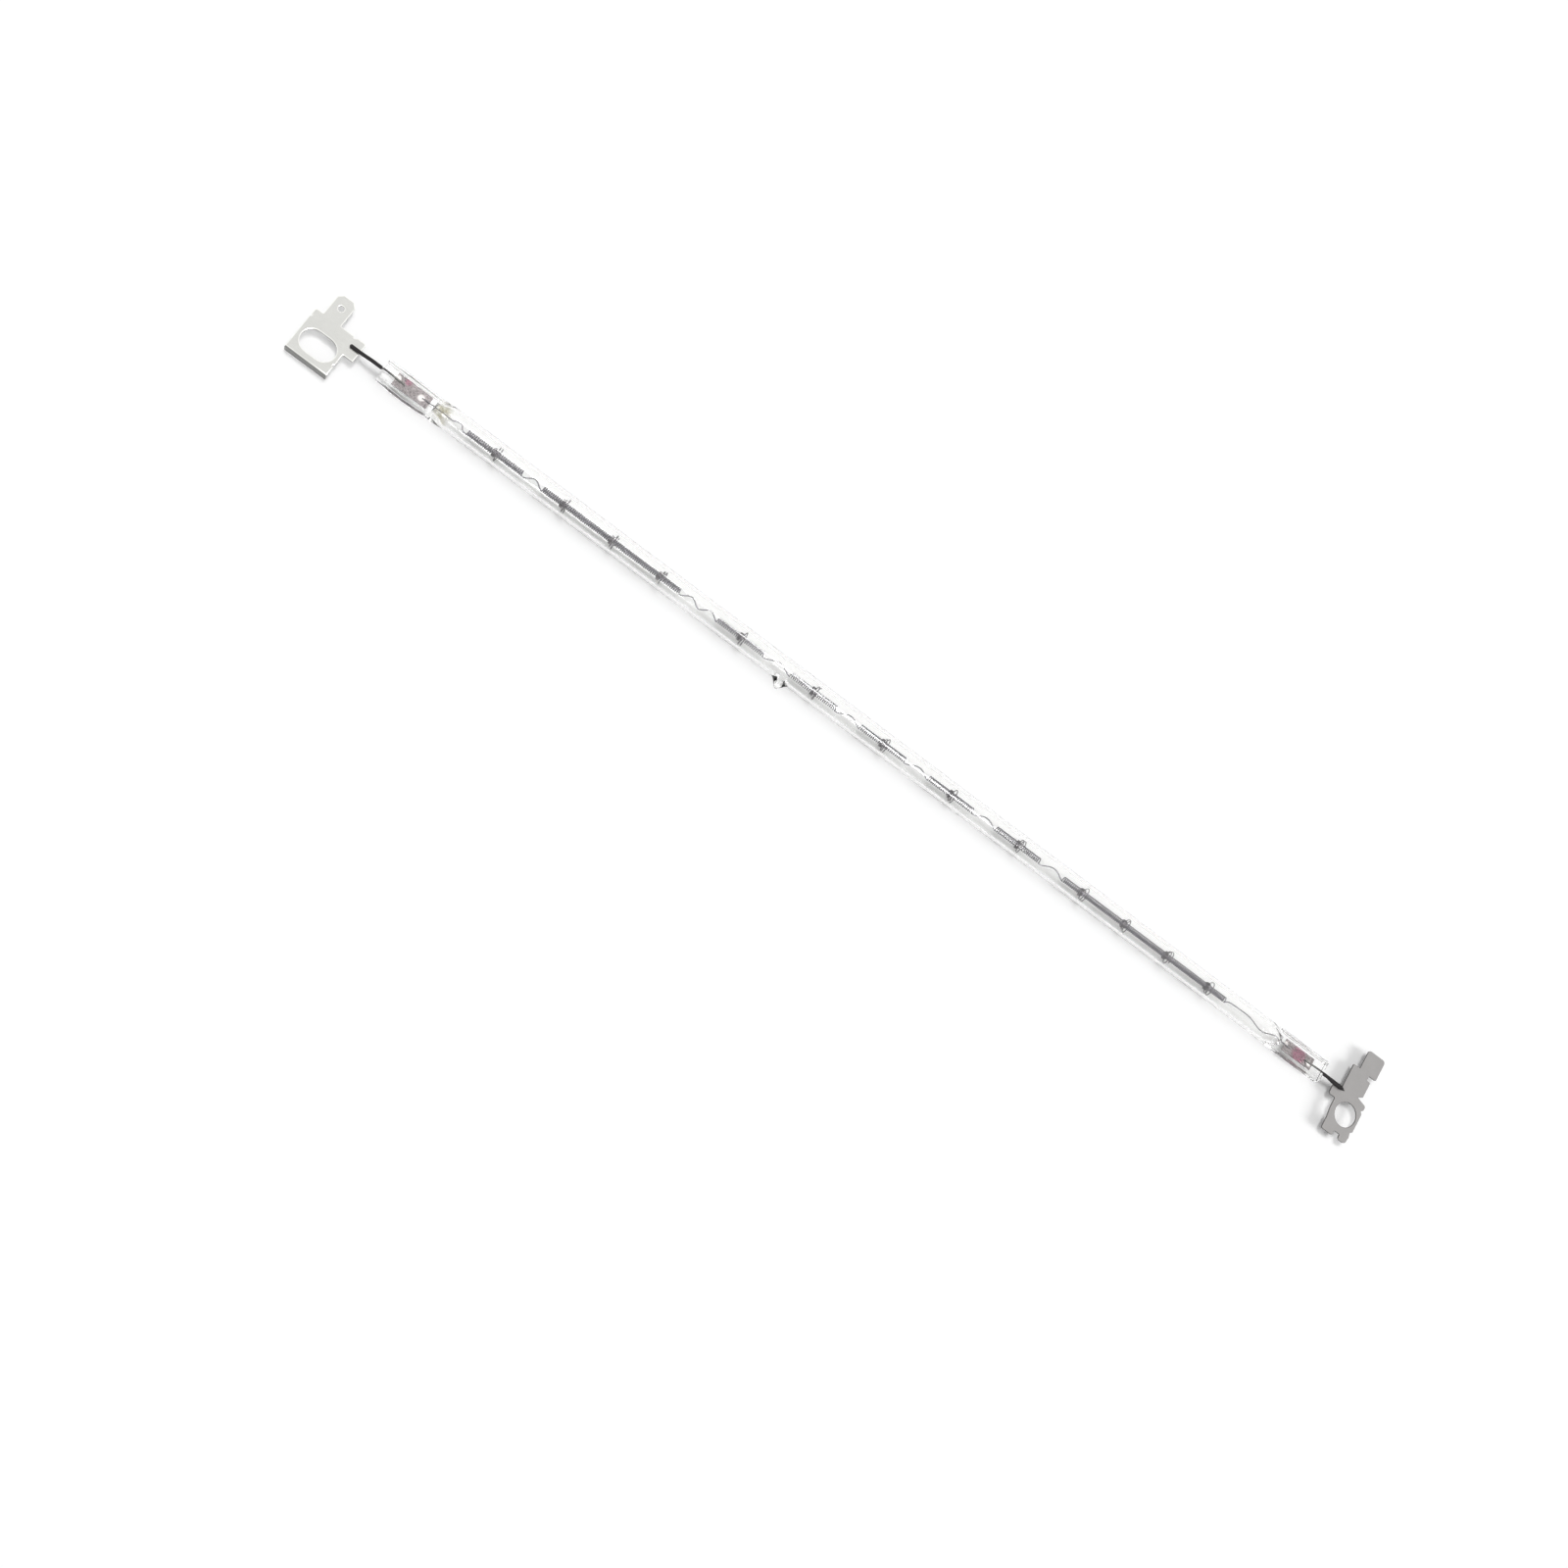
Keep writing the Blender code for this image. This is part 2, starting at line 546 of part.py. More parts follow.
def make_left_terminal(parent, plate_metal):
    """Stamped terminal with a long hole, a spade blade and a turned-down lip."""
    edge = LEFT_TERMINAL_EDGE
    right = edge - LEFT_TAB_REACH
    left = right - LEFT_BODY_WIDTH
    blade_left = left + LEFT_BLADE_INSET
    blade_right = blade_left + LEFT_BLADE_WIDTH
    fold = -LEFT_FOLD + BEND_RADIUS
    nick = LEFT_NICK
    outer_nick = LEFT_SHOULDER - LEFT_NICK_BACK
    corners = [
        (left, fold, 0.0),
        (right, fold, 0.0),
        (right, -LEFT_NICK_DOWN - nick, nick / 2),
        (right - nick, -LEFT_NICK_DOWN, nick / 2),
        (right, -LEFT_NICK_DOWN + nick, nick / 2),
        (right, -LEFT_TAB_DOWN, STAMP_ROUND),
        (edge, -LEFT_TAB_DOWN, STAMP_ROUND),
        (edge, LEFT_TAB_UP, STAMP_ROUND * 2),
        (right + nick, LEFT_TAB_UP, STAMP_ROUND),
        (right - nick, LEFT_SHOULDER - nick, nick / 2),
        (right - 2 * nick, LEFT_SHOULDER, nick / 2),
        (blade_right, LEFT_SHOULDER, STAMP_ROUND),
        (blade_right, LEFT_BLADE_TOP - LEFT_BLADE_CUT, STAMP_ROUND),
        (blade_right - LEFT_BLADE_CUT, LEFT_BLADE_TOP, STAMP_ROUND),
        (blade_left + LEFT_BLADE_CUT, LEFT_BLADE_TOP, STAMP_ROUND),
        (blade_left, LEFT_BLADE_TOP - LEFT_BLADE_CUT, STAMP_ROUND),
        (blade_left, LEFT_SHOULDER, STAMP_ROUND),
        (left, LEFT_SHOULDER, STAMP_ROUND * 2),
        (left, outer_nick + nick, nick / 2),
        (left + nick, outer_nick, nick / 2),
        (left, outer_nick - nick, nick / 2),
    ]
    hole = ((left + right) / 2, -LEFT_HOLE_DOWN)
    dimple = ((blade_left + blade_right) / 2, LEFT_BLADE_TOP - LEFT_BLADE_HOLE_DOWN)
    bm = flat_sheet(rounded_outline(corners), [
        hole_outline(hole, LEFT_HOLE_LENGTH, LEFT_HOLE_WIDTH),
        hole_outline(dimple, LEFT_BLADE_HOLE_D, LEFT_BLADE_HOLE_D)])
    fold_edges = [item for item in bm.edges
                  if all(abs(vert.co.y - fold) < 1e-6 for vert in item.verts)]
    bent = bmesh.ops.spin(bm, geom=fold_edges, cent=(0, fold, -BEND_RADIUS), axis=(1, 0, 0),
                          angle=math.pi / 2, steps=ARC_STEPS)
    lip_edges = [item for item in bent["geom_last"] if isinstance(item, bmesh.types.BMEdge)]
    lip = bmesh.ops.extrude_edge_only(bm, edges=lip_edges)
    hanging = [item for item in lip["geom"] if isinstance(item, bmesh.types.BMVert)]
    bmesh.ops.translate(bm, verts=hanging, vec=(0, 0, -(AXIS_Z + SHEET_TOP - BEND_RADIUS)))
    bmesh.ops.remove_doubles(bm, verts=bm.verts, dist=1e-7)
    thicken(bm, SHEET)
    chamfer_blade(bm, LEFT_SHOULDER + LEFT_BLADE_CUT)
    add_object("terminal_left", mesh_of("terminal_left", bm), plate_metal, parent, (0, 0, SHEET_TOP))


def make_right_terminal(parent, plate_metal):
    """Flat stamped terminal with a round eye, two feet and a spade blade."""
    edge = RIGHT_TERMINAL_EDGE
    body = edge + RIGHT_TAB_REACH
    body_right = body + RIGHT_BODY_WIDTH
    blade_left = body + RIGHT_BLADE_INSET
    blade_right = blade_left + RIGHT_BLADE_WIDTH
    eye = (body + RIGHT_EYE_FROM_BODY, -RIGHT_EYE_DOWN)
    ring = RIGHT_EYE_D / 2 + RIGHT_EYE_WALL
    ear = eye[0] + RIGHT_EAR_REACH
    foot = eye[0] - RIGHT_FOOT_REACH
    notch = eye[0] + RIGHT_NOTCH_SHIFT
    half_notch = RIGHT_NOTCH_WIDTH / 2
    slot_bottom = RIGHT_SLOT_TOP - RIGHT_SLOT_HEIGHT
    slot_end = body_right - RIGHT_SLOT_DEPTH
    waist = body_right - RIGHT_WAIST_DEPTH
    corners = [
        (blade_left, RIGHT_SHOULDER, STAMP_ROUND),
        (body, RIGHT_SHOULDER, STAMP_ROUND / 2),
        (body, RIGHT_TAB_UP, 0.0),
        (edge, RIGHT_TAB_UP, STAMP_ROUND),
        (edge, -RIGHT_TAB_DOWN, STAMP_ROUND * 2),
        (eye[0] - ring - RIGHT_NICK, -RIGHT_TAB_DOWN, STAMP_ROUND),
        (eye[0] - ring - RIGHT_NICK, -RIGHT_EYE_DOWN - RIGHT_NICK, STAMP_ROUND * 4),
        (foot, -RIGHT_NICK_DOWN, STAMP_ROUND * 2),
        (foot, -RIGHT_BOTTOM, STAMP_ROUND * 2),
        (notch - half_notch, -RIGHT_BOTTOM, STAMP_ROUND),
        (notch - half_notch, -RIGHT_BOTTOM + RIGHT_NOTCH_DEPTH, STAMP_ROUND),
        (notch + half_notch, -RIGHT_BOTTOM + RIGHT_NOTCH_DEPTH, STAMP_ROUND),
        (notch + half_notch, -RIGHT_BOTTOM, STAMP_ROUND * 2),
        (ear - RIGHT_NICK, -RIGHT_BOTTOM, STAMP_ROUND * 3),
        (ear - RIGHT_NICK / 2, -RIGHT_NICK_DOWN - 2 * RIGHT_NICK, STAMP_ROUND),
        (ear - RIGHT_NICK, -RIGHT_NICK_DOWN, STAMP_ROUND / 2),
        (ear, -RIGHT_NICK_DOWN + RIGHT_NICK, STAMP_ROUND / 2),
        (ear, -RIGHT_EAR_DOWN - 3 * RIGHT_NICK, STAMP_ROUND),
        (ear - RIGHT_NICK, -RIGHT_EAR_DOWN - 2 * RIGHT_NICK, STAMP_ROUND / 2),
        (ear, -RIGHT_EAR_DOWN - RIGHT_NICK, STAMP_ROUND),
        (ear, -RIGHT_EAR_DOWN + RIGHT_NICK, STAMP_ROUND * 2),
        (waist, RIGHT_WAIST_TOP - RIGHT_WAIST_DROP, STAMP_ROUND / 2),
        (body_right, RIGHT_WAIST_TOP, STAMP_ROUND / 2),
        (body_right, slot_bottom, STAMP_ROUND),
        (slot_end, slot_bottom, STAMP_ROUND),
        (slot_end, RIGHT_SLOT_TOP, STAMP_ROUND),
        (blade_right, RIGHT_SLOT_TOP, STAMP_ROUND),
        (blade_right, RIGHT_BLADE_TOP, RIGHT_BLADE_ROUND),
        (blade_left, RIGHT_BLADE_TOP, RIGHT_BLADE_ROUND),
    ]
    bm = flat_sheet(rounded_outline(corners), [hole_outline(eye, RIGHT_EYE_D, RIGHT_EYE_D)])
    thicken(bm, SHEET)
    chamfer_blade(bm, RIGHT_SHOULDER + STAMP_ROUND)
    add_object("terminal_right", mesh_of("terminal_right", bm), plate_metal, parent, (0, 0, SHEET_TOP))


def build():
    """Model the whole lamp."""
    clear_scene()
    lamp_axis = bpy.data.objects.new("lamp_axis", None)
    bpy.context.scene.collection.objects.link(lamp_axis)
    lamp_axis.location = (0, AXIS_Y, AXIS_Z)

    make_envelope(lamp_axis, finish("fused_quartz", (0.93, 0.94, 0.94), 0.03, 0.0, 0.35))
    make_filament(lamp_axis, finish("drawn_tungsten", (0.25, 0.25, 0.26), 0.35, 1.0),
                  finish("support_tungsten", (0.22, 0.22, 0.23), 0.4, 1.0))
    make_foils(lamp_axis, finish("molybdenum_foil", (0.42, 0.38, 0.39), 0.45, 1.0))
    make_leads(lamp_axis, finish("oxidised_molybdenum", (0.035, 0.035, 0.035), 0.5, 0.6))
    make_left_terminal(lamp_axis, finish("bright_nickel_plate", (0.78, 0.78, 0.75), 0.25, 1.0))
    make_right_terminal(lamp_axis, finish("dull_nickel_plate", (0.42, 0.42, 0.41), 0.5, 0.9))


build()
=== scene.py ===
"""Looks for the quartz fuser lamp: fine meshes, procedural finishes, a white table and soft light.

Metres, +Z up, +X along the lamp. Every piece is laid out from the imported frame.
"""

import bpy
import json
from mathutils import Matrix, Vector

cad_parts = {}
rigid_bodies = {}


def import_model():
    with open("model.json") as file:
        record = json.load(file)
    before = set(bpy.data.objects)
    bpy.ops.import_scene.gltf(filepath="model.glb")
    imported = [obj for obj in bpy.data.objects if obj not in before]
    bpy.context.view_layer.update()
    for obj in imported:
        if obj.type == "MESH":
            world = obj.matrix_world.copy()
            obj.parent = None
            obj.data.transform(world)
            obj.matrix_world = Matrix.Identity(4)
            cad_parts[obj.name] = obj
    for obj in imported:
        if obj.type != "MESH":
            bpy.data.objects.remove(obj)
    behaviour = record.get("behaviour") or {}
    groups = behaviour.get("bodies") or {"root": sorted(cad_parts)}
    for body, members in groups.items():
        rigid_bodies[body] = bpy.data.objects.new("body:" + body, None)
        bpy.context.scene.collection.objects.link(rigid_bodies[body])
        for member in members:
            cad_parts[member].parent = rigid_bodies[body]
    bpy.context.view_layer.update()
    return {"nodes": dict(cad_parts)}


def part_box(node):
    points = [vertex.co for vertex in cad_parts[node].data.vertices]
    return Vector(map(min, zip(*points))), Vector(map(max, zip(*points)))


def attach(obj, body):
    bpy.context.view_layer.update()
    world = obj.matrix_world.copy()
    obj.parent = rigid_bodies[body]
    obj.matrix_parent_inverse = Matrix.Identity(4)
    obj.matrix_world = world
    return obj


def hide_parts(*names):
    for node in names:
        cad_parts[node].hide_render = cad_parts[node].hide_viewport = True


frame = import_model()

import json
import math

import bmesh
import bpy
from bpy.props import FloatProperty, FloatVectorProperty, PointerProperty
from mathutils import Matrix, Vector, noise

bl_info = {
    "name": "Quartz Fuser Lamp",
    "version": (1, 0, 0),
    "blender": (4, 5, 0),
    "location": "View3D > Sidebar > Fuser Lamp",
    "description": "Builds the quartz tube, filament, foils, leads, terminals and studio of a fuser lamp",
    "category": "Object",
}

# Places read from the frame
GLASS_LOW, GLASS_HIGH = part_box("quartz_envelope")
LEAD_LOW, LEAD_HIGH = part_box("outer_lead_left")
AXIS = (LEAD_LOW + LEAD_HIGH) / 2
PLATE_LOW, PLATE_TOP = (corner.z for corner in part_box("terminal_right"))
SUPPORT_NODES = sorted(name for name in frame["nodes"] if name.startswith("filament_support"))

# The coil: lit segments, and the stretched turns between them
SEGMENTS = (0.0156, 0.0398, 0.0137, 0.0137, 0.0137, 0.0137, 0.0137, 0.0529)
STRETCHES = (0.0058, 0.0112, 0.0082, 0.0075, 0.0075, 0.0075, 0.0077)
# Each leg's bends: share of the way from the coil to the pinch, then how many coil radii off the axis
LEFT_LEG = ((0.12, -0.5), (0.21, 0.875), (0.36, 0.625), (0.47, 0.125))
RIGHT_LEG = ((0.08, 0.25), (0.27, 0.5), (0.44, 0.375), (0.68, -1.0), (0.87, 0.375))


def linear(code):
    """A hex sRGB colour as linear red, green and blue."""
    parts = [int(code[start:start + 2], 16) / 255 for start in (1, 3, 5)]
    return tuple(part / 12.92 if part <= 0.04045 else ((part + 0.055) / 1.055) ** 2.4 for part in parts)


def length(label, words, default):
    """A length that a user can change."""
    return FloatProperty(name=label, description=words, default=default, min=0.0, precision=5, unit="LENGTH")


def colour(label, words, code):
    """A colour that a user can change."""
    return FloatVectorProperty(name=label, description=words, default=linear(code), min=0.0, max=1.0,
                               size=3, subtype="COLOR")


def share(label, words, default, high=1.0):
    """A plain number that a user can change."""
    return FloatProperty(name=label, description=words, default=default, min=0.0, max=high)


class LampSizes(bpy.types.PropertyGroup):
    """Sizes of the glass, the wires, the foils and the terminals' edges."""

    tube_diameter: length("Tube diameter", "Outside of the quartz tube", 0.0060)
    tube_wall: length("Tube wall", "Thickness of the quartz", 0.0008)
    shoulder_length: length("Shoulder length", "From the round tube to the flat pinch", 0.0050)
    seal_length: length("Pinch length", "Flat pressed end of the tube", 0.0140)
    seal_width: length("Pinch width", "Across the pressed end", 0.0062)
    seal_web: length("Web thickness", "Flat middle of the pinch", 0.0027)
    seal_rib: length("Bead thickness", "Beads along the pinch's edges", 0.0034)
    seal_rib_width: length("Bead width", "How wide each bead is", 0.0009)
    cold_left: length("Left cold end", "Round tube left of the coil", 0.0045)
    tip_height: length("Tip height", "How far the exhaust tip stands out", 0.0022)
    tip_base: length("Tip base", "Width of the exhaust tip where it leaves the tube", 0.0050)
    tip_from_coil: length("Tip place", "Exhaust tip from the coil's first turn", 0.0930)
    coil_wire: length("Coil wire", "Diameter of the tungsten wire", 0.0003)
    coil_diameter: length("Coil diameter", "Outside of the coil", 0.0016)
    coil_pitch: length("Coil pitch", "From turn to turn in a lit segment", 0.00052)
    stretch_pitch: length("Stretched pitch", "From turn to turn between the segments", 0.0055)
    support_wire: length("Support wire", "Diameter of the support wire", 0.00025)
    support_pitch: length("Support pitch", "From turn to turn in a support, on average", 0.00042)
    hug_pitch: length("Close pitch", "From turn to turn where a support hugs the coil", 0.00028)
    foil_thickness: length("Foil thickness", "Of the molybdenum foil", 0.00006)
    lead_diameter: length("Lead diameter", "Outside the pinch", 0.0009)
    lead_in_seal: length("Lead diameter in the pinch", "Thinner stretch inside the glass", 0.0005)
    lead_pressed: length("Pressed lead width", "Where the right lead is pressed on its terminal", 0.0012)
    left_coin: length("Left coined band", "Shallow slope pressed along the left terminal's edges", 0.00018)
    left_roll: length("Left rolled edge", "Round that the die leaves on the left terminal", 0.00014)
    right_roll: length("Right rolled edge", "Round that the die leaves on the right terminal", 0.00010)


class LampFinishes(bpy.types.PropertyGroup):
    """Colours of the finishes."""

    smoke: colour("Smoke", "Faint olive smoke in the quartz of the left shoulder", "#c4c0ab")
    tungsten: colour("Tungsten", "Drawn tungsten wire of the coil", "#77757a")
    support: colour("Support wire", "Drawn tungsten wire of the supports", "#6f6c6f")
    foil: colour("Foil", "Molybdenum foil in the pinch", "#797474")
    # Also the colour of the painted highlight at the left foil's outer end
    weld: colour("Weld", "Where a wire or a lead is welded to its foil", "#c2bfbd")
    foil_tint: colour("Foil tint", "Rose patch on the foil", "#7d4f60")
    lead: colour("Lead", "Oxidised molybdenum rod", "#2e2c2d")
    bare_lead: colour("Bare lead", "The same rod inside the pinch", "#7c7b79")
    bright_nickel: colour("Bright nickel", "Plating of the left terminal", "#dcdcd8")
    # Painted shade on the lip's outer face
    lip_shade_nickel: colour("Bent nickel", "Plating stretched dull on the lip's outer face", "#8a8a88")
    dull_nickel: colour("Dull nickel", "Plating of the right terminal", "#a8a6a5")
    table: colour("Table", "White table top", "#f0f0f0")


class StudioSettings(bpy.types.PropertyGroup):
    """Light of the studio."""

    dome: share("Dome", "Plain light from all round", 0.34)
    key: share("Key lamp", "Low soft lamp beyond the lamp's right end", 2.5, 20.0)
    fill: share("Fill lamp", "High soft lamp behind the lamp", 1.20, 20.0)
    strip: share("Strip lamp power", "Narrow lamp that draws the bright line on the glass", 1.05, 20.0)
    glint: share("Glint lamp", "High lamp that only the tungsten wires mirror", 0.45, 20.0)
    wall: share("Wall", "How bright metal sees the foot of the studio's walls", 0.28)
    lift: share("Table lift", "Light added to the table where it is looked at", 0.11)


def sizes():
    """The lamp's sizes."""
    return bpy.context.scene.lamp_sizes


def finishes():
    """The lamp's colours."""
    return bpy.context.scene.lamp_finishes


def coil_left():
    """Where the coil's first turn stands."""
    lamp = sizes()
    return GLASS_LOW.x + lamp.seal_length + lamp.shoulder_length + lamp.cold_left


def coil_right():
    """Where the coil's last turn stands."""
    return coil_left() + sum(SEGMENTS) + sum(STRETCHES)


# Node and mesh helpers

SMOOTH = {"interpolation_type": "SMOOTHSTEP"}
FALLING = {"To Min": 1.0, "To Max": 0.0}
COLOURS = {"data_type": "RGBA"}
MERGE_DISTANCE = 1e-7


def add_node(tree, kind, settings=None, values=None, links=None):
    """Add a node, set its properties and its sockets, and link other sockets to it."""
    node = tree.nodes.new(kind)
    for name, value in (settings or {}).items():
        setattr(node, name, value)
    for name, value in (values or {}).items():
        node.inputs[name].default_value = value
    for name, source in (links or {}).items():
        tree.links.new(source, node.inputs[name])
    return node


def new_material(name):
    """A material with only its output node."""
    material = bpy.data.materials.new(name)
    material.use_nodes = True
    material.node_tree.nodes.clear()
    return material, material.node_tree


def opaque(colour_value, times=1.0):
    """A colour made darker or lighter, with its fourth part."""
    return (*(min(1.0, part * times) for part in colour_value), 1.0)


def spots(millimetres):
    """A pattern's scale on coordinates in metres, from the real size of its spots."""
    return 1000.0 / millimetres


def spot(tree, where, middle, core, reach):
    """1 within the core distance of a place, and a smooth fall to 0 at its reach."""
    away = add_node(tree, "ShaderNodeVectorMath", {"operation": "DISTANCE"}, {1: middle}, {0: where})
    near = add_node(tree, "ShaderNodeMapRange", SMOOTH, {"From Min": core, "From Max": reach, **FALLING},
                    {"Value": away.outputs["Value"]})
    return near.outputs["Result"]


def smoothstep(low, high, value):
    """0 below low, 1 above high, and a smooth rise between."""
    t = min(1.0, max(0.0, (value - low) / (high - low)))
    return t * t * (3 - 2 * t)


def finish_piece(name, mesh, material, nodes, smooth_angle=40.0):
    """Shade a mesh, put it in the scene and let it stand for its CAD nodes."""
    mesh.name = name
    mesh.shade_smooth()
    mesh.set_sharp_from_angle(angle=math.radians(smooth_angle))
    mesh.materials.clear()
    mesh.materials.append(material)
    piece = bpy.data.objects.new(name, mesh)
    bpy.context.scene.collection.objects.link(piece)
    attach(piece, "root")
    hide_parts(*nodes)
    return piece


def mesh_from(bm, name):
    """Turn a bmesh into a mesh."""
    mesh = bpy.data.meshes.new(name)
    bm.to_mesh(mesh)
    bm.free()
    return mesh


def smooth_path(points, steps):
    """A smooth curve through points, with the given number of steps between each two."""
    path = []
    padded = [points[0], *points, points[-1]]
    for before, start, end, after in zip(padded, padded[1:], padded[2:], padded[3:]):
        for step in range(steps):
            t = step / steps
            path.append(tuple(
                0.5 * (2 * b + (c - a) * t + (2 * a - 5 * b + 4 * c - d) * t * t
                       + (3 * b - a - 3 * c + d) * t ** 3)
                for a, b, c, d in zip(before, start, end, after)))
    path.append(tuple(points[-1]))
    return path


def wire_mesh(name, points, diameter, resolution, radii=None):
    """A round wire along points, as a mesh; radii are shares of the full radius."""
    curve = bpy.data.curves.new(name, "CURVE")
    curve.dimensions = "3D"
    curve.bevel_depth = diameter / 2
    curve.bevel_resolution = resolution
    curve.use_fill_caps = True
    spline = curve.splines.new("POLY")
    spline.points.add(len(points) - 1)
    for index, point in enumerate(points):
        spline.points[index].co = (*point, 1.0)
        spline.points[index].radius = radii[index] if radii else 1.0
    holder = bpy.data.objects.new(name, curve)
    mesh = bpy.data.meshes.new_from_object(holder)
    bpy.data.objects.remove(holder)
    bm = bmesh.new()
    bm.from_mesh(mesh)
    bmesh.ops.remove_doubles(bm, verts=bm.verts, dist=MERGE_DISTANCE)
    bmesh.ops.recalc_face_normals(bm, faces=bm.faces)
    bm.to_mesh(mesh)
    bm.free()
    return mesh


def round_axis(x, radius, angle):
    """A point on a circle about the lamp's axis."""
    return (x, AXIS.y + radius * math.cos(angle), AXIS.z + radius * math.sin(angle))


# Quartz envelope

OUTER_SIDES = 96
INNER_SIDES = 64
OUTLINE_STEPS = 1440
CORNER_POWER = 0.36       # under 1 squares the pinch's corners
END_STEPS = 4             # rings in the round at each cut end
FINE_STEP = 0.0003        # between rings where the glass changes its shape
COARSE_STEP = 0.0060      # between rings of plain tube
END_ROUND = 0.0003        # fire-polished round at each cut end
RIPPLE = 0.00004          # uneven faces that pressing leaves on the pinch
RIPPLE_LENGTH = 0.0022    # from swell to swell
RIPPLE_SEED = 5           # without it the noise starts from the clock and each run differs
LEFT_BULGE = 0.0004       # the left pinch swells on its -Y side
LEFT_SLIM = 0.0005        # and is pressed narrower on its +Y side
BORE_END = 0.96           # share of the shoulder that the bore reaches
BORE_NARROWS = 0.45       # how much narrower the bore is at its wedged end, as a share
BORE_CURVE = 0.8          # under 1 keeps the bore high for longer before it closes
TIP_BORE_HEIGHT = 0.7     # how far the bore follows the tip, as shares of its height and its base
TIP_BORE_BASE = 0.45
SMOKE_PLACE = 0.0168      # faint smoke of the sealing flame, from the glass's left end, and its reach
SMOKE_REACH = 0.0034
CLEAR_TINT = (0.985, 0.985, 0.98, 1.0)      # what the quartz leaves of light, looked through
FACE_ON_TINT = (0.985, 0.985, 0.985, 1.0)   # and of light that casts its shadow, face on and edge on
EDGE_ON_TINT = (0.90, 0.90, 0.90, 1.0)


def pinch_outline(sides, width, web, rib, rib_width):
    """Points evenly spaced round the pinch's outline, from +Y and anticlockwise."""
    half = width / 2
    dense = []
    for step in range(OUTLINE_STEPS + 1):
        angle = 2 * math.pi * step / OUTLINE_STEPS
        y = half * math.copysign(abs(math.cos(angle)) ** CORNER_POWER, math.cos(angle))
        bead = smoothstep(half - rib_width, half - rib_width / 2, abs(y))
        tall = (web + (rib - web) * bead) / 2
        dense.append((y, tall * math.copysign(abs(math.sin(angle)) ** CORNER_POWER, math.sin(angle))))
    along = [0.0]
    for first, second in zip(dense, dense[1:]):
        along.append(along[-1] + math.dist(first, second))
    outline = []
    index = 0
    for side in range(sides):
        target = along[-1] * side / sides
        while along[index + 1] < target:
            index += 1
        part = (target - along[index]) / (along[index + 1] - along[index])
        outline.append(tuple(a + (b - a) * part for a, b in zip(dense[index], dense[index + 1])))
    return outline


def stations(marks, step_at):
    """Places along the lamp from the first mark to the last, closer together where step_at says."""
    places = [marks[0]]
    for start, end in zip(marks, marks[1:]):
        count = max(1, math.ceil((end - start) / step_at((start + end) / 2)))
        places += [start + (end - start) * step / count for step in range(1, count + 1)]
    return places


def straight_tube(radius, places, sides):
    """An open tube about the lamp's axis with a ring of vertices at each place."""
    bm = bmesh.new()
    upright = Matrix.Translation((places[0], AXIS.y, AXIS.z)) @ Matrix.Rotation(math.pi / 2, 4, "Y")
    bmesh.ops.create_circle(bm, cap_ends=False, segments=sides, radius=radius, matrix=upright)
    rim = list(bm.edges)
    for start, end in zip(places, places[1:]):
        grown = bmesh.ops.extrude_edge_only(bm, edges=rim)["geom"]
        fresh = {item for item in grown if isinstance(item, bmesh.types.BMVert)}
        rim = [item for item in grown if isinstance(item, bmesh.types.BMEdge) and set(item.verts) <= fresh]
        bmesh.ops.translate(bm, verts=list(fresh), vec=(end - start, 0, 0))
    return bm


def close_ends(bm):
    """Fill the two open ends."""
    rims = [edge for edge in bm.edges if edge.is_boundary]
    bmesh.ops.holes_fill(bm, edges=rims, sides=0)
    bmesh.ops.recalc_face_normals(bm, faces=bm.faces)


def tip_bulge(x, y, z, height, base):
    """How far the exhaust tip draws the glass out towards -Y."""
    if y > AXIS.y:
        return 0.0
    place = coil_left() + sizes().tip_from_coil
    away = math.hypot(x - place, z - AXIS.z) / (base / 2)
    return height * math.cos(math.pi / 2 * min(1.0, away)) ** 2


def end_distance(x):
    """Distance from the nearer cut end of the glass."""
    return min(x - GLASS_LOW.x, GLASS_HIGH.x - x)


def mould_outer(point, outline):
    """Move a vertex of the straight tube to its place on the drawn, pressed and sealed glass."""
    lamp = sizes()
    x, y, z = point
    turn = math.atan2(z - AXIS.z, y - AXIS.y) / (2 * math.pi)
    flat_y, flat_z = outline[round(turn * OUTER_SIDES) % OUTER_SIDES]
    distance = end_distance(x)
    pressed = 1.0 - smoothstep(lamp.seal_length, lamp.seal_length + lamp.shoulder_length, distance)
    if x < 0.0 and flat_y > 0.0:
        flat_y *= 1 - LEFT_SLIM / (lamp.seal_width / 2)
    elif x < 0.0:
        swell = math.sin(math.pi * min(1.0, distance / lamp.seal_length))
        flat_y *= 1 + LEFT_BULGE / (lamp.seal_width / 2) * swell
    ripple = noise.noise_vector(Vector(point) / RIPPLE_LENGTH) * RIPPLE * pressed
    wide = (y - AXIS.y) * (1 - pressed) + flat_y * pressed
    tall = (z - AXIS.z) * (1 - pressed) + flat_z * pressed
    rounded = min(1.0, max(0.0, 1.0 - distance / END_ROUND))
    shrink = END_ROUND * (1 - math.sqrt(1 - rounded * rounded)) / math.hypot(wide, tall)
    wide *= 1 - shrink
    tall *= 1 - shrink
    drawn = tip_bulge(x, y, z, lamp.tip_height, lamp.tip_base)
    return Vector((x, AXIS.y + wide - drawn + ripple.y, AXIS.z + tall + ripple.z))


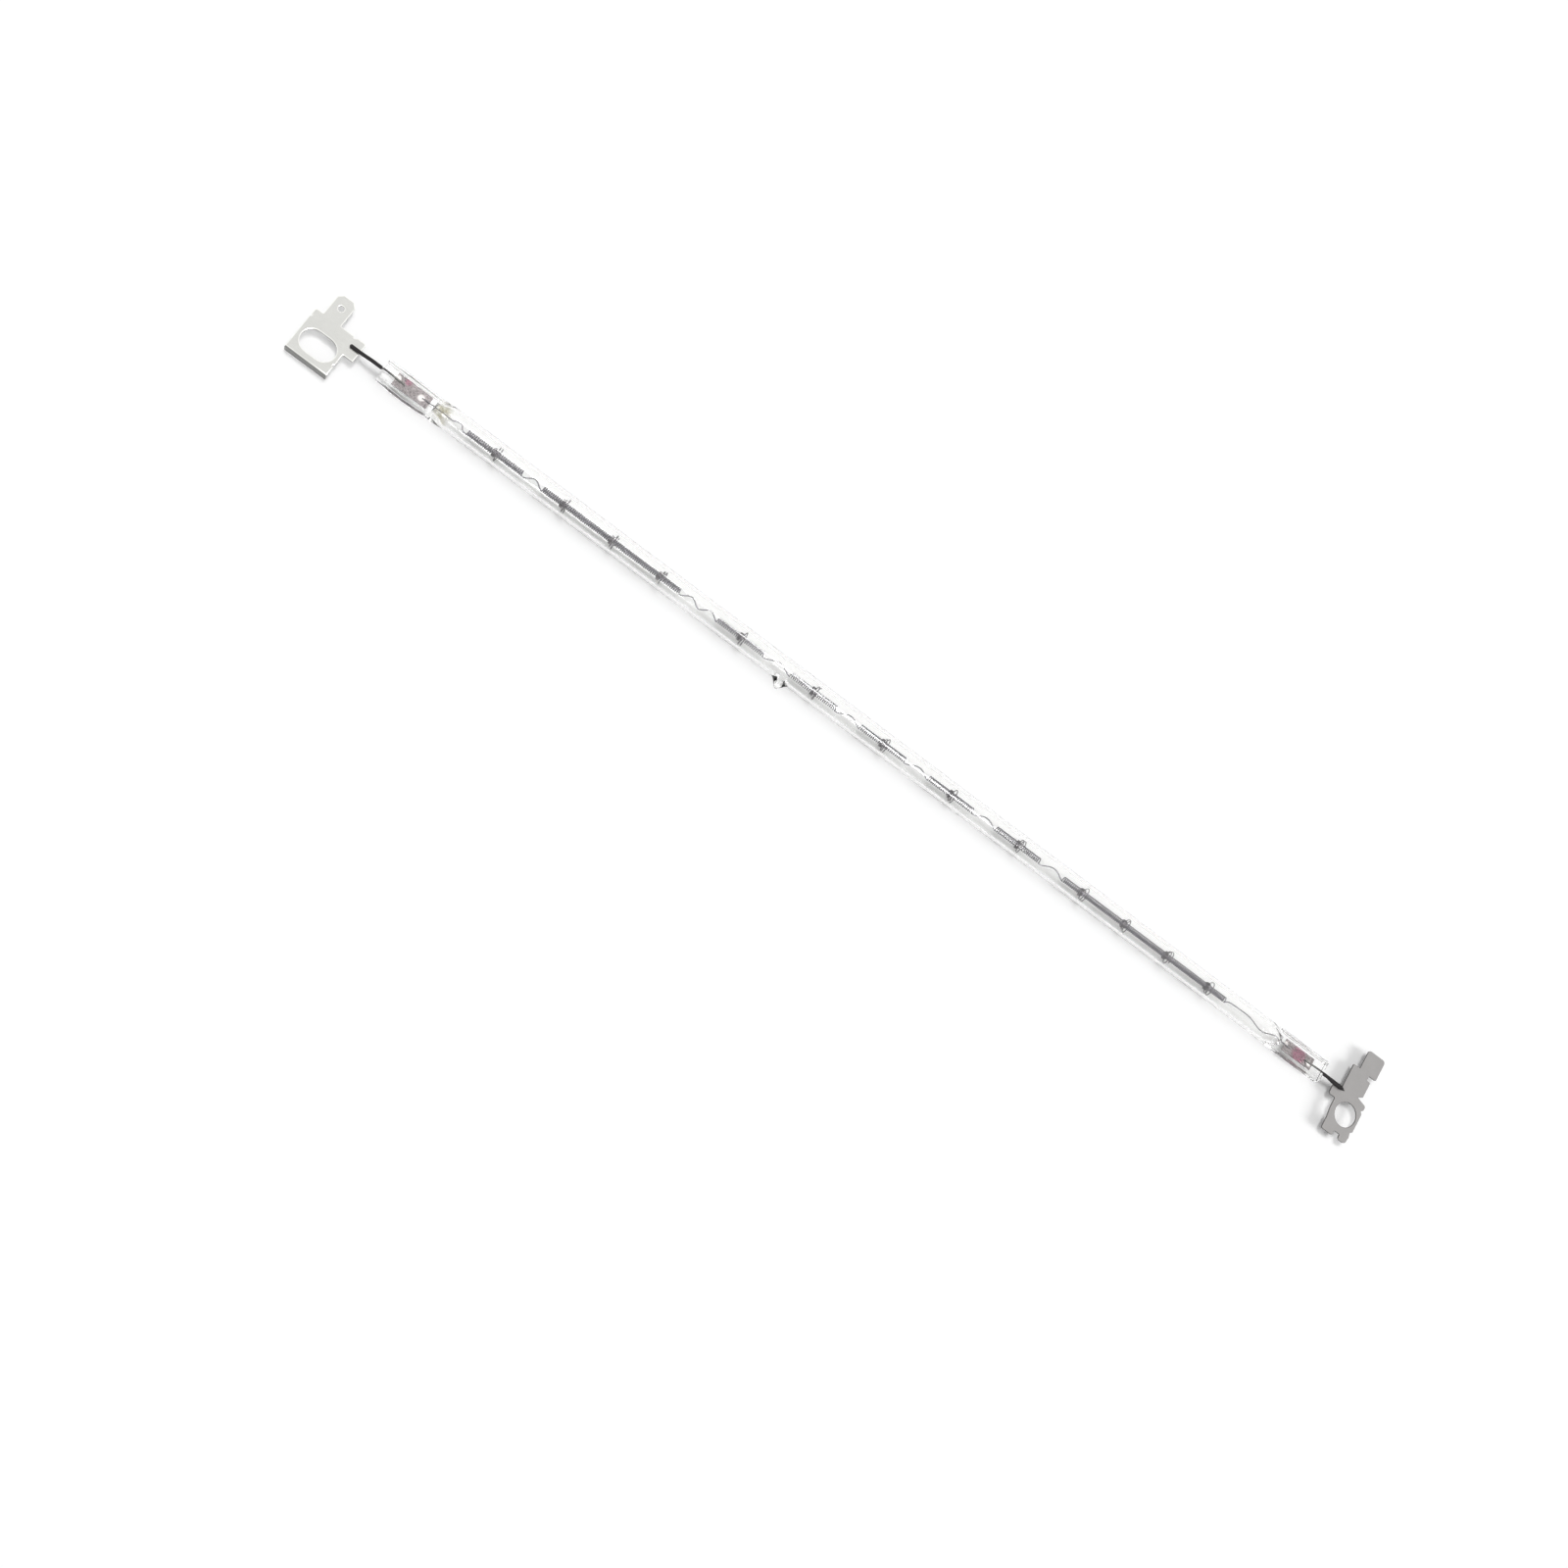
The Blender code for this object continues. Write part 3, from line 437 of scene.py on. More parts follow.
def mould_inner(point, low, high):
    """Move a vertex of the straight bore: wedged shut at each shoulder, drawn out into the tip."""
    lamp = sizes()
    x, y, z = point
    into = max(low + lamp.shoulder_length * BORE_END - x, x - high + lamp.shoulder_length * BORE_END, 0.0)
    part = into / lamp.shoulder_length
    wide = (y - AXIS.y) * (1 - BORE_NARROWS * part * part)
    tall = (z - AXIS.z) * math.cos(math.pi / 2 * part) ** BORE_CURVE
    drawn = tip_bulge(x, y, z, lamp.tip_height * TIP_BORE_HEIGHT, lamp.tip_base * TIP_BORE_BASE)
    return Vector((x, AXIS.y + wide - drawn, AXIS.z + tall))


def quartz_material():
    """Fused quartz, fire polished: clear, with bright and dark lines at its edges and a smoky shoulder."""
    material, tree = new_material("fused_quartz_fire_polished")
    where = add_node(tree, "ShaderNodeTexCoord").outputs["Object"]
    near = spot(tree, where, (GLASS_LOW.x + SMOKE_PLACE, AXIS.y, AXIS.z), SMOKE_REACH / 2, SMOKE_REACH)
    cloud = add_node(tree, "ShaderNodeTexNoise", values={"Scale": spots(1.5), "Detail": 3.0},
                     links={"Vector": where})
    patchy = add_node(tree, "ShaderNodeMapRange", values={"From Min": 0.35, "From Max": 0.60},
                      links={"Value": cloud.outputs["Fac"]})
    amount = add_node(tree, "ShaderNodeMath", {"operation": "MULTIPLY"},
                      links={0: near, 1: patchy.outputs["Result"]})
    shade = add_node(tree, "ShaderNodeMix", COLOURS, {"A": CLEAR_TINT, "B": opaque(finishes().smoke)},
                     {"Factor": amount.outputs["Value"]})
    glass = add_node(tree, "ShaderNodeBsdfPrincipled",
                     values={"Roughness": 0.0, "IOR": 1.458, "Transmission Weight": 1.0},
                     links={"Base Color": shade.outputs["Result"]})
    # Lamps and the table's soft light pass straight through; a wall seen edge on stops more of it
    edge_on = add_node(tree, "ShaderNodeLayerWeight", values={"Blend": 0.35})
    tint = add_node(tree, "ShaderNodeMix", COLOURS, {"A": FACE_ON_TINT, "B": EDGE_ON_TINT},
                    {"Factor": edge_on.outputs["Facing"]})
    clear = add_node(tree, "ShaderNodeBsdfTransparent", links={"Color": tint.outputs["Result"]})
    path = add_node(tree, "ShaderNodeLightPath")
    either = add_node(tree, "ShaderNodeMath", {"operation": "MAXIMUM"},
                      links={0: path.outputs["Is Shadow Ray"], 1: path.outputs["Is Diffuse Ray"]})
    mix = add_node(tree, "ShaderNodeMixShader", links={
        "Fac": either.outputs["Value"], 1: glass.outputs["BSDF"], 2: clear.outputs["BSDF"]})
    add_node(tree, "ShaderNodeOutputMaterial", links={"Surface": mix.outputs["Shader"]})
    return material


class LAMP_OT_quartz(bpy.types.Operator):
    """Build the quartz tube with its pinches and exhaust tip"""

    bl_idname = "lamp.quartz"
    bl_label = "Quartz envelope"

    def execute(self, context):
        lamp = sizes()
        tip = coil_left() + lamp.tip_from_coil
        solid_end = lamp.seal_length + lamp.shoulder_length
        fine_zones = ((GLASS_LOW.x, GLASS_LOW.x + solid_end), (GLASS_HIGH.x - solid_end, GLASS_HIGH.x),
                      (tip - lamp.tip_base / 2, tip + lamp.tip_base / 2))

        def step_at(x):
            """Ring spacing at a place along the glass."""
            fine = any(low <= x <= high for low, high in fine_zones)
            return (FINE_STEP if abs(x - tip) > lamp.tip_base else FINE_STEP / 2) if fine else COARSE_STEP

        marks = sorted({GLASS_LOW.x, GLASS_LOW.x + END_ROUND, GLASS_HIGH.x - END_ROUND, GLASS_HIGH.x,
                        *(edge for zone in fine_zones for edge in zone)})
        places = stations(marks, step_at)
        for step in range(1, END_STEPS):
            part = END_ROUND * (1 - math.cos(math.pi / 2 * step / END_STEPS))
            places += [GLASS_LOW.x + part, GLASS_HIGH.x - part]
        outer = straight_tube(lamp.tube_diameter / 2, sorted(set(places)), OUTER_SIDES)
        outline = pinch_outline(OUTER_SIDES, lamp.seal_width, lamp.seal_web, lamp.seal_rib,
                                lamp.seal_rib_width)
        noise.seed_set(RIPPLE_SEED)
        for vert in outer.verts:
            vert.co = mould_outer(vert.co, outline)
        close_ends(outer)

        low = GLASS_LOW.x + lamp.seal_length + lamp.shoulder_length * (1 - BORE_END)
        high = GLASS_HIGH.x - lamp.seal_length - lamp.shoulder_length * (1 - BORE_END)
        reach = lamp.shoulder_length * BORE_END
        marks = [low, low + reach, tip - lamp.tip_base / 2, tip + lamp.tip_base / 2, high - reach, high]
        fine_zones = ((low, low + reach), (high - reach, high), (marks[2], marks[3]))
        inner = straight_tube(lamp.tube_diameter / 2 - lamp.tube_wall, stations(marks, step_at), INNER_SIDES)
        for vert in inner.verts:
            vert.co = mould_inner(vert.co, low, high)
        close_ends(inner)
        bmesh.ops.reverse_faces(inner, faces=inner.faces)
        bore = mesh_from(inner, "bore")
        outer.from_mesh(bore)
        bpy.data.meshes.remove(bore)
        finish_piece("quartz_tube", mesh_from(outer, "quartz_tube"), quartz_material(),
                     ["quartz_envelope"])
        return {"FINISHED"}


# Filament

COIL_STEPS = 12
STRETCH_STEPS = 32
LEG_STEPS = 10
LEG_ON_FOIL = 0.0020      # how much of the leg lies on its foil


def filament_path():
    """The whole wire: left leg, tight segments with stretched turns between, right leg."""
    lamp = sizes()
    radius = (lamp.coil_diameter - lamp.coil_wire) / 2
    coil = []
    angle = math.pi
    x = coil_left()
    for index, span in enumerate(SEGMENTS):
        stretch = STRETCHES[index] if index < len(STRETCHES) else 0.0
        windings = [(span, max(1, round(span / lamp.coil_pitch)), COIL_STEPS)]
        if stretch:
            windings.append((stretch, max(1, round(stretch / lamp.stretch_pitch)), STRETCH_STEPS))
        for run, count, steps in windings:
            for _ in range(count * steps):
                coil.append(round_axis(x, radius, angle))
                x += run / (count * steps)
                angle += 2 * math.pi / steps
    coil.append(round_axis(x, radius, angle))
    ends = []
    left_foil, right_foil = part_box("seal_foil_left")[1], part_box("seal_foil_right")[0]
    foil_top = left_foil.z + lamp.coil_wire / 2
    for start, pinch, foil, bends, first in (
            (coil_left(), GLASS_LOW.x + lamp.seal_length, left_foil.x, LEFT_LEG, coil[0]),
            (coil_right(), GLASS_HIGH.x - lamp.seal_length, right_foil.x, RIGHT_LEG, coil[-1])):
        weld = foil - math.copysign(LEG_ON_FOIL, start - pinch)
        leg = [first]
        leg += [(start + (pinch - start) * part, AXIS.y + off * lamp.coil_diameter / 2, AXIS.z)
                for part, off in bends]
        leg += [(pinch, AXIS.y, AXIS.z), (foil, AXIS.y, foil_top), (weld, AXIS.y, foil_top)]
        ends.append(smooth_path(leg, LEG_STEPS))
    return ends[0][::-1][:-1] + coil + ends[1][1:]


def tungsten_material(name, base):
    """Drawn tungsten wire: dark metal with a sheen, fine scratches and a dull film in places."""
    material, tree = new_material(name)
    where = add_node(tree, "ShaderNodeTexCoord").outputs["Object"]
    film = add_node(tree, "ShaderNodeTexNoise", values={"Scale": spots(1.1), "Detail": 3.0},
                    links={"Vector": where})
    shade = add_node(tree, "ShaderNodeMix", COLOURS, {"A": opaque(base, 0.75), "B": opaque(base, 1.2)},
                     {"Factor": film.outputs["Fac"]})
    rough = add_node(tree, "ShaderNodeMapRange", values={"To Min": 0.22, "To Max": 0.42},
                     links={"Value": film.outputs["Fac"]})
    lines = add_node(tree, "ShaderNodeTexNoise", values={"Scale": spots(0.05), "Detail": 2.0},
                     links={"Vector": where})
    relief = add_node(tree, "ShaderNodeBump", values={"Strength": 0.15, "Distance": 0.00001},
                      links={"Height": lines.outputs["Fac"]})
    metal = add_node(tree, "ShaderNodeBsdfPrincipled", values={"Metallic": 1.0}, links={
        "Base Color": shade.outputs["Result"], "Roughness": rough.outputs["Result"],
        "Normal": relief.outputs["Normal"]})
    add_node(tree, "ShaderNodeOutputMaterial", links={"Surface": metal.outputs["BSDF"]})
    return material


class LAMP_OT_filament(bpy.types.Operator):
    """Wind the tungsten filament with its lit segments, stretched turns and legs"""

    bl_idname = "lamp.filament"
    bl_label = "Filament"

    def execute(self, context):
        mesh = wire_mesh("tungsten_filament", filament_path(), sizes().coil_wire, resolution=1)
        material = tungsten_material("drawn_tungsten", finishes().tungsten)
        finish_piece("tungsten_filament", mesh, material, ["filament"], smooth_angle=80.0)
        return {"FINISHED"}


# Supports

SUPPORT_STEPS = 20
HUG_TURNS = 2.5
RISE_TURNS = 0.6
RING_TURNS = 1.1
HUG_GAP = 0.0001          # the hugging turns sit close round the coil
SUPPORT_PHASE = 137.5     # degrees that each support is turned from the last


def support_path(end, phase):
    """One support: turns that hug the coil, then a rise to a ring just inside the bore."""
    lamp = sizes()
    low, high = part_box(SUPPORT_NODES[0])
    hug = lamp.coil_diameter / 2 + HUG_GAP + lamp.support_wire / 2
    ring = (high.z - low.z - lamp.support_wire) / 2
    total = HUG_TURNS + RISE_TURNS + RING_TURNS
    open_pitch = (total * lamp.support_pitch - HUG_TURNS * lamp.hug_pitch) / (RISE_TURNS + RING_TURNS)
    points = []
    for step in range(round(total * SUPPORT_STEPS) + 1):
        turns = step / SUPPORT_STEPS
        rise = smoothstep(HUG_TURNS, HUG_TURNS + RISE_TURNS, turns)
        opened = min(total - turns, total - HUG_TURNS) * open_pitch
        hugged = max(0.0, HUG_TURNS - turns) * lamp.hug_pitch
        points.append(round_axis(end - opened - hugged, hug + (ring - hug) * rise,
                                 2 * math.pi * turns + phase))
    return points


class LAMP_OT_supports(bpy.types.Operator):
    """Wind the spiral supports that hold the coil off the tube"""

    bl_idname = "lamp.supports"
    bl_label = "Filament supports"

    def execute(self, context):
        lamp = sizes()
        material = tungsten_material("drawn_tungsten_support", finishes().support)
        for index, node in enumerate(SUPPORT_NODES):
            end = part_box(node)[1].x - lamp.support_wire / 2
            path = support_path(end, math.radians(index * SUPPORT_PHASE))
            name = f"coil_support_{index + 1:02d}"
            mesh = wire_mesh(name, path, lamp.support_wire, resolution=2)
            finish_piece(name, mesh, material, [node], smooth_angle=80.0)
        return {"FINISHED"}


# Foils

FOIL_CELLS = (60, 20)
FOIL_CRUMPLE = 0.00004    # how far the foil is crumpled up and down, and from crease to crease
FOIL_CRUMPLE_LENGTH = 0.0009
SPOT_CORE = 0.45          # share of a spot's reach that is plain
# Each foil's rose patch and bright spots: place from its left end and from its middle line, then reach. The
# spots are welds, except the left foil's second, at its outer end above the lead, which is a painted
# highlight.
LEFT_PATCH = (0.0030, 0.0013, 0.0013)
LEFT_WELDS_AND_HIGHLIGHT = ((0.0073, -0.0001, 0.0011), (0.0006, 0.0005, 0.0009))
RIGHT_PATCH = (0.0050, 0.0000, 0.0028)
RIGHT_WELDS = ((0.0086, -0.0003, 0.0009), (0.0006, 0.0006, 0.0006))


def foil_spot(tree, where, low, place):
    """A spot on a foil that starts at low."""
    along, across, reach = place
    return spot(tree, where, (low.x + along, AXIS.y + across, low.z), reach * SPOT_CORE, reach)


def foil_material(name, low, patch, bright_spots):
    """Molybdenum foil sealed in quartz: dull etched grey, speckled, with a rose patch, bright welds, and on
    the left foil a painted highlight in the weld's colour.
    """
    material, tree = new_material(name)
    where = add_node(tree, "ShaderNodeTexCoord").outputs["Object"]
    speckle = add_node(tree, "ShaderNodeTexNoise",
                       values={"Scale": spots(0.4), "Detail": 4.0, "Roughness": 0.7}, links={"Vector": where})
    pits = add_node(tree, "ShaderNodeMapRange", values={"From Min": 0.36, "From Max": 0.64},
                    links={"Value": speckle.outputs["Fac"]})
    base = add_node(tree, "ShaderNodeMix", COLOURS,
                    {"A": opaque(finishes().foil, 0.4), "B": opaque(finishes().foil, 1.5)},
                    {"Factor": pits.outputs["Result"]})
    broken = add_node(tree, "ShaderNodeMapRange", values={"From Min": 0.40, "From Max": 0.56},
                      links={"Value": speckle.outputs["Fac"]})
    amount = add_node(tree, "ShaderNodeMath", {"operation": "MULTIPLY"},
                      links={0: foil_spot(tree, where, low, patch), 1: broken.outputs["Result"]})
    shown = add_node(tree, "ShaderNodeMix", COLOURS, {"B": opaque(finishes().foil_tint)},
                     {"Factor": amount.outputs["Value"], "A": base.outputs["Result"]})
    # Welds, and the left foil's painted highlight, all in the weld's colour
    for weld in bright_spots:
        shown = add_node(tree, "ShaderNodeMix", COLOURS, {"B": opaque(finishes().weld)},
                         {"Factor": foil_spot(tree, where, low, weld), "A": shown.outputs["Result"]})
    relief = add_node(tree, "ShaderNodeBump", values={"Strength": 0.3, "Distance": 0.00002},
                      links={"Height": speckle.outputs["Fac"]})
    metal = add_node(tree, "ShaderNodeBsdfPrincipled", values={"Metallic": 1.0, "Roughness": 0.45},
                     links={"Base Color": shown.outputs["Result"], "Normal": relief.outputs["Normal"]})
    add_node(tree, "ShaderNodeOutputMaterial", links={"Surface": metal.outputs["BSDF"]})
    return material


class LAMP_OT_foils(bpy.types.Operator):
    """Lay the crumpled sealing foils in the pinches"""

    bl_idname = "lamp.foils"
    bl_label = "Sealing foils"

    def execute(self, context):
        for side, patch, bright_spots in (("left", LEFT_PATCH, LEFT_WELDS_AND_HIGHLIGHT),
                                   ("right", RIGHT_PATCH, RIGHT_WELDS)):
            node = "seal_foil_" + side
            low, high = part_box(node)
            bm = bmesh.new()
            bmesh.ops.create_grid(bm, x_segments=FOIL_CELLS[0], y_segments=FOIL_CELLS[1], size=0.5)
            bmesh.ops.scale(bm, verts=bm.verts, vec=(high.x - low.x, high.y - low.y, 1))
            bmesh.ops.translate(bm, verts=bm.verts, vec=(low + high) / 2)
            for vert in bm.verts:
                vert.co.z += noise.noise(vert.co / FOIL_CRUMPLE_LENGTH) * FOIL_CRUMPLE
            bmesh.ops.solidify(bm, geom=bm.faces, thickness=sizes().foil_thickness)
            bmesh.ops.recalc_face_normals(bm, faces=bm.faces)
            name = "molybdenum_foil_" + side
            material = foil_material(name, low, patch, bright_spots)
            finish_piece(name, mesh_from(bm, name), material, [node])
        return {"FINISHED"}


# Leads

LEAD_ON_FOIL = 0.0022     # how much of the lead lies on its foil
LEAD_LEVEL = 0.0010       # the lead leaves the foil and is level again this far inside the glass
LEAD_NECK = (0.0003, 0.0006)    # from the glass's end: where the lead thickens, and where it is thick
LEAD_DIP = 0.45           # share of the free run after which it goes down to the plate
PLATE_EDGE = (0.0004, 0.0006)   # before and after the plate's edge: where the lead comes to lie on it
LEAD_SINK = 0.00012       # how far the weld has sunk the lead into the plate
LEAD_MESH = 4             # steps between two places of the route, and roundness
NOSE_STEPS = 5
NOSE_END = 0.08           # the round nose closes at this share of the lead's width
RIGHT_POINT = 0.0016      # length of the right lead's cut point
# Its cut: share of the point still to go, how many radii it has dropped, and its share of the width
RIGHT_CUT = ((0.3, 0.5, 0.45), (0.0, 0.75, 0.12))
THINNEST = 0.05           # the curve through the point is kept from falling below this share of the width
BARE_START = 0.0002       # from the glass's end to where the oxide stops, and to where none is left
BARE_FULL = 0.0045


def lead_material(name, glass, inwards):
    """Molybdenum rod oxidised by the sealing flame: black and dull outside, bare grey metal in the pinch."""
    material, tree = new_material(name)
    where = add_node(tree, "ShaderNodeTexCoord").outputs["Object"]
    bloom = add_node(tree, "ShaderNodeTexNoise", values={"Scale": spots(0.7), "Detail": 4.0},
                     links={"Vector": where})
    oxide = add_node(tree, "ShaderNodeMix", COLOURS,
                     {"A": opaque(finishes().lead, 0.6), "B": opaque(finishes().lead, 1.6)},
                     {"Factor": bloom.outputs["Fac"]})
    parts = add_node(tree, "ShaderNodeSeparateXYZ", links={"Vector": where})
    inside = add_node(tree, "ShaderNodeMapRange", SMOOTH,
                      {"From Min": glass + inwards * BARE_START, "From Max": glass + inwards * BARE_FULL},
                      {"Value": parts.outputs["X"]})
    shade = add_node(tree, "ShaderNodeMix", COLOURS, {"B": opaque(finishes().bare_lead)},
                     {"Factor": inside.outputs["Result"], "A": oxide.outputs["Result"]})
    rough = add_node(tree, "ShaderNodeMapRange", values={"To Min": 0.38, "To Max": 0.62},
                     links={"Value": bloom.outputs["Fac"]})
    relief = add_node(tree, "ShaderNodeBump", values={"Strength": 0.25, "Distance": 0.00002},
                      links={"Height": bloom.outputs["Fac"]})
    metal = add_node(tree, "ShaderNodeBsdfPrincipled", values={"Metallic": 0.7}, links={
        "Base Color": shade.outputs["Result"], "Roughness": rough.outputs["Result"],
        "Normal": relief.outputs["Normal"]})
    add_node(tree, "ShaderNodeOutputMaterial", links={"Surface": metal.outputs["BSDF"]})
    return material


class LAMP_OT_leads(bpy.types.Operator):
    """Run the outer leads from the foils to the terminals"""

    bl_idname = "lamp.leads"
    bl_label = "Outer leads"

    def execute(self, context):
        lamp = sizes()
        full = lamp.lead_diameter / 2
        thin = lamp.lead_in_seal / lamp.lead_diameter
        foil_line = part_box("seal_foil_left")[1].z + lamp.lead_in_seal / 2
        plate_line = PLATE_TOP + full - LEAD_SINK
        for side, outwards in (("left", -1), ("right", 1)):
            node = "outer_lead_" + side
            low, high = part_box(node)
            inner, tip = (high.x, low.x) if side == "left" else (low.x, high.x)
            glass = GLASS_LOW.x if side == "left" else GLASS_HIGH.x
            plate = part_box("terminal_" + side)[1 if side == "left" else 0].x
            pressed = 1.0 if side == "left" else lamp.lead_pressed / lamp.lead_diameter
            route = [(inner, foil_line, thin), (inner + outwards * LEAD_ON_FOIL, foil_line, thin),
                     (glass - outwards * LEAD_LEVEL, AXIS.z, thin),
                     (glass + outwards * LEAD_NECK[0], AXIS.z, thin),
                     (glass + outwards * LEAD_NECK[1], AXIS.z, 1.0),
                     (glass + (plate - glass) * LEAD_DIP, AXIS.z, 1.0),
                     (plate - outwards * PLATE_EDGE[0], plate_line, pressed),
                     (plate + outwards * PLATE_EDGE[1], plate_line, pressed)]
            if side == "left":
                quarter = [math.pi / 2 * step / NOSE_STEPS for step in range(NOSE_STEPS)]
                route += [(tip - outwards * full * (1 - math.sin(turn)), plate_line, math.cos(turn))
                          for turn in quarter]
                route.append((tip, plate_line, NOSE_END))
            else:
                route.append((tip - outwards * RIGHT_POINT, plate_line, pressed))
                route += [(tip - outwards * RIGHT_POINT * rest, plate_line - full * drop, wide)
                          for rest, drop, wide in RIGHT_CUT]
            smooth = smooth_path([(x, AXIS.y, z, wide) for x, z, wide in route], LEAD_MESH)
            path = [(x, y, z) for x, y, z, _ in smooth]
            radii = [max(THINNEST, min(pressed, wide)) for *_, wide in smooth]
            name = "molybdenum_lead_" + side
            mesh = wire_mesh(name, path, lamp.lead_diameter, LEAD_MESH, radii)
            for vert in mesh.vertices:
                vert.co.z = min(AXIS.z + full, max(plate_line - full, vert.co.z))
            finish_piece(name, mesh, lead_material(name, glass, -outwards), [node],
                         smooth_angle=50.0)
        return {"FINISHED"}


# Terminals

RIM_ANGLE = 60.0          # an edge this sharp is a rim
LEVEL_ANGLE = 1.0         # faces closer than this to one plane become one
FLAT_SLOPE = 0.999        # a face this close to level or upright stays flat
HAIRLINE = 0.00001        # wider than the solids' hairline chamfer
ROLL_SEGMENTS = 3
GRAIN_STRETCH = (0.06, 1.0, 1.0)    # the strip was rolled along X
LIP_SHADE_REACH = 0.00045       # from the lip's outer face to where its painted shade has faded out
WALL_SHADE_FULL_SLOPE = 0.25      # painted shade on the steep walls: full below this slope, faded out by the next
WALL_SHADE_END_SLOPE = 0.92
WALL_SHADE_TONE = 0.45
LEVEL_SLOPE = 0.985       # above this the sheet is plain
EDGE_TONE_FULL_SLOPE = 0.970      # and below this the rolled edges get a painted tone: highlight on the left terminal, shade on the right
COIN_DEPTH = 0.3          # how deep the coined band is, as a share of its width
COIN_TOLERANCE = 0.02     # how near to a height still counts as at it, as a share of the band's width


def nickel_parts(tree, base, painted_edge_tone, low_rough, high_rough):
    """Rolling grain along the strip, faint stains, a painted tone on the rolled edges by their slope, and
    painted shade on the steep walls.
    """
    where = add_node(tree, "ShaderNodeTexCoord")
    place = where.outputs["Object"]
    stretched = add_node(tree, "ShaderNodeMapping", values={"Scale": GRAIN_STRETCH},
                         links={"Vector": place})
    # The real grain is finer; it is drawn as coarse as it needs to show
    grain = add_node(tree, "ShaderNodeTexNoise", values={"Scale": spots(0.11), "Detail": 3.0},
                     links={"Vector": stretched.outputs["Vector"]})
    stains = add_node(tree, "ShaderNodeTexNoise",
                      values={"Scale": spots(4.5), "Detail": 4.0, "Roughness": 0.6},
                      links={"Vector": place})
    shade = add_node(tree, "ShaderNodeMix", COLOURS, {"A": opaque(base, 0.92), "B": opaque(base, 1.07)},
                     {"Factor": stains.outputs["Fac"]})
    rough = add_node(tree, "ShaderNodeMapRange", values={"To Min": low_rough, "To Max": high_rough},
                     links={"Value": grain.outputs["Fac"]})
    facing = add_node(tree, "ShaderNodeSeparateXYZ", links={"Vector": where.outputs["Normal"]})
    # Painted tones by slope: the caller's tone on the rolled edges, then painted shade on the steep walls
    for low, high, tone in ((EDGE_TONE_FULL_SLOPE, LEVEL_SLOPE, painted_edge_tone),
                            (WALL_SHADE_FULL_SLOPE, WALL_SHADE_END_SLOPE, WALL_SHADE_TONE)):
        edge = add_node(tree, "ShaderNodeMapRange", SMOOTH, {"From Min": low, "From Max": high, **FALLING},
                        {"Value": facing.outputs["Z"]})
        shade = add_node(tree, "ShaderNodeMix", COLOURS, {"B": opaque(base, tone)},
                         {"Factor": edge.outputs["Result"], "A": shade.outputs["Result"]})
    return place, shade.outputs["Result"], rough.outputs["Result"], grain.outputs["Fac"]


def bright_nickel_material():
    """Bright nickel on cold-rolled strip: pale with a soft sheen, a painted highlight on its coined and
    rolled edges, and painted shade on its steep walls and on the lip's outer face.
    """
    material, tree = new_material("bright_nickel_plate")
    # Painted highlight: the coined and rolled edges are made lighter by their slope
    where, shade, rough, grain = nickel_parts(tree, finishes().bright_nickel, painted_edge_tone=1.35,
                                              low_rough=0.22, high_rough=0.36)
    parts = add_node(tree, "ShaderNodeSeparateXYZ", links={"Vector": where})
    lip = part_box("terminal_left")[0].y
    # Painted shade on the lip's outer face, fading out away from it
    lip_shade_mask = add_node(tree, "ShaderNodeMapRange", SMOOTH,
                    {"From Min": lip + LIP_SHADE_REACH / 3, "From Max": lip + LIP_SHADE_REACH, **FALLING},
                    {"Value": parts.outputs["Y"]})
    both = add_node(tree, "ShaderNodeMix", COLOURS, {"B": opaque(finishes().lip_shade_nickel)},
                    {"Factor": lip_shade_mask.outputs["Result"], "A": shade})
    relief = add_node(tree, "ShaderNodeBump", values={"Strength": 0.2, "Distance": 0.000004},
                      links={"Height": grain})
    metal = add_node(tree, "ShaderNodeBsdfPrincipled", values={"Metallic": 1.0}, links={
        "Base Color": both.outputs["Result"], "Roughness": rough, "Normal": relief.outputs["Normal"]})
    add_node(tree, "ShaderNodeOutputMaterial", links={"Surface": metal.outputs["BSDF"]})
    return material


def dull_nickel_material():
    """Matt nickel on cold-rolled strip: an even mid grey with hardly a reflection, and painted shade on its
    rolled edges and steep walls.
    """
    material, tree = new_material("dull_nickel_plate")
    # Painted shade: the rolled edges are made darker by their slope
    _, shade, rough, grain = nickel_parts(tree, finishes().dull_nickel, painted_edge_tone=0.85,
                                          low_rough=0.42, high_rough=0.58)
    relief = add_node(tree, "ShaderNodeBump", values={"Strength": 0.2, "Distance": 0.000006},
                      links={"Height": grain})
    metal = add_node(tree, "ShaderNodeBsdfPrincipled", values={"Metallic": 1.0}, links={
        "Base Color": shade, "Roughness": rough, "Normal": relief.outputs["Normal"]})
    add_node(tree, "ShaderNodeOutputMaterial", links={"Surface": metal.outputs["BSDF"]})
    return material


def sharp_rims(bm, low, high):
    """Sharp edges that lie wholly between two heights."""
    return [edge for edge in bm.edges
            if edge.calc_face_angle(0.0) > math.radians(RIM_ANGLE)
            and all(low < vert.co.z < high for vert in edge.verts)]


def round_rims(bm, rims, width, segments):
    """Bevel these edges."""
    bmesh.ops.bevel(bm, geom=rims, offset=width, segments=segments, profile=0.5, affect="EDGES",
                    material=-1, clamp_overlap=False)


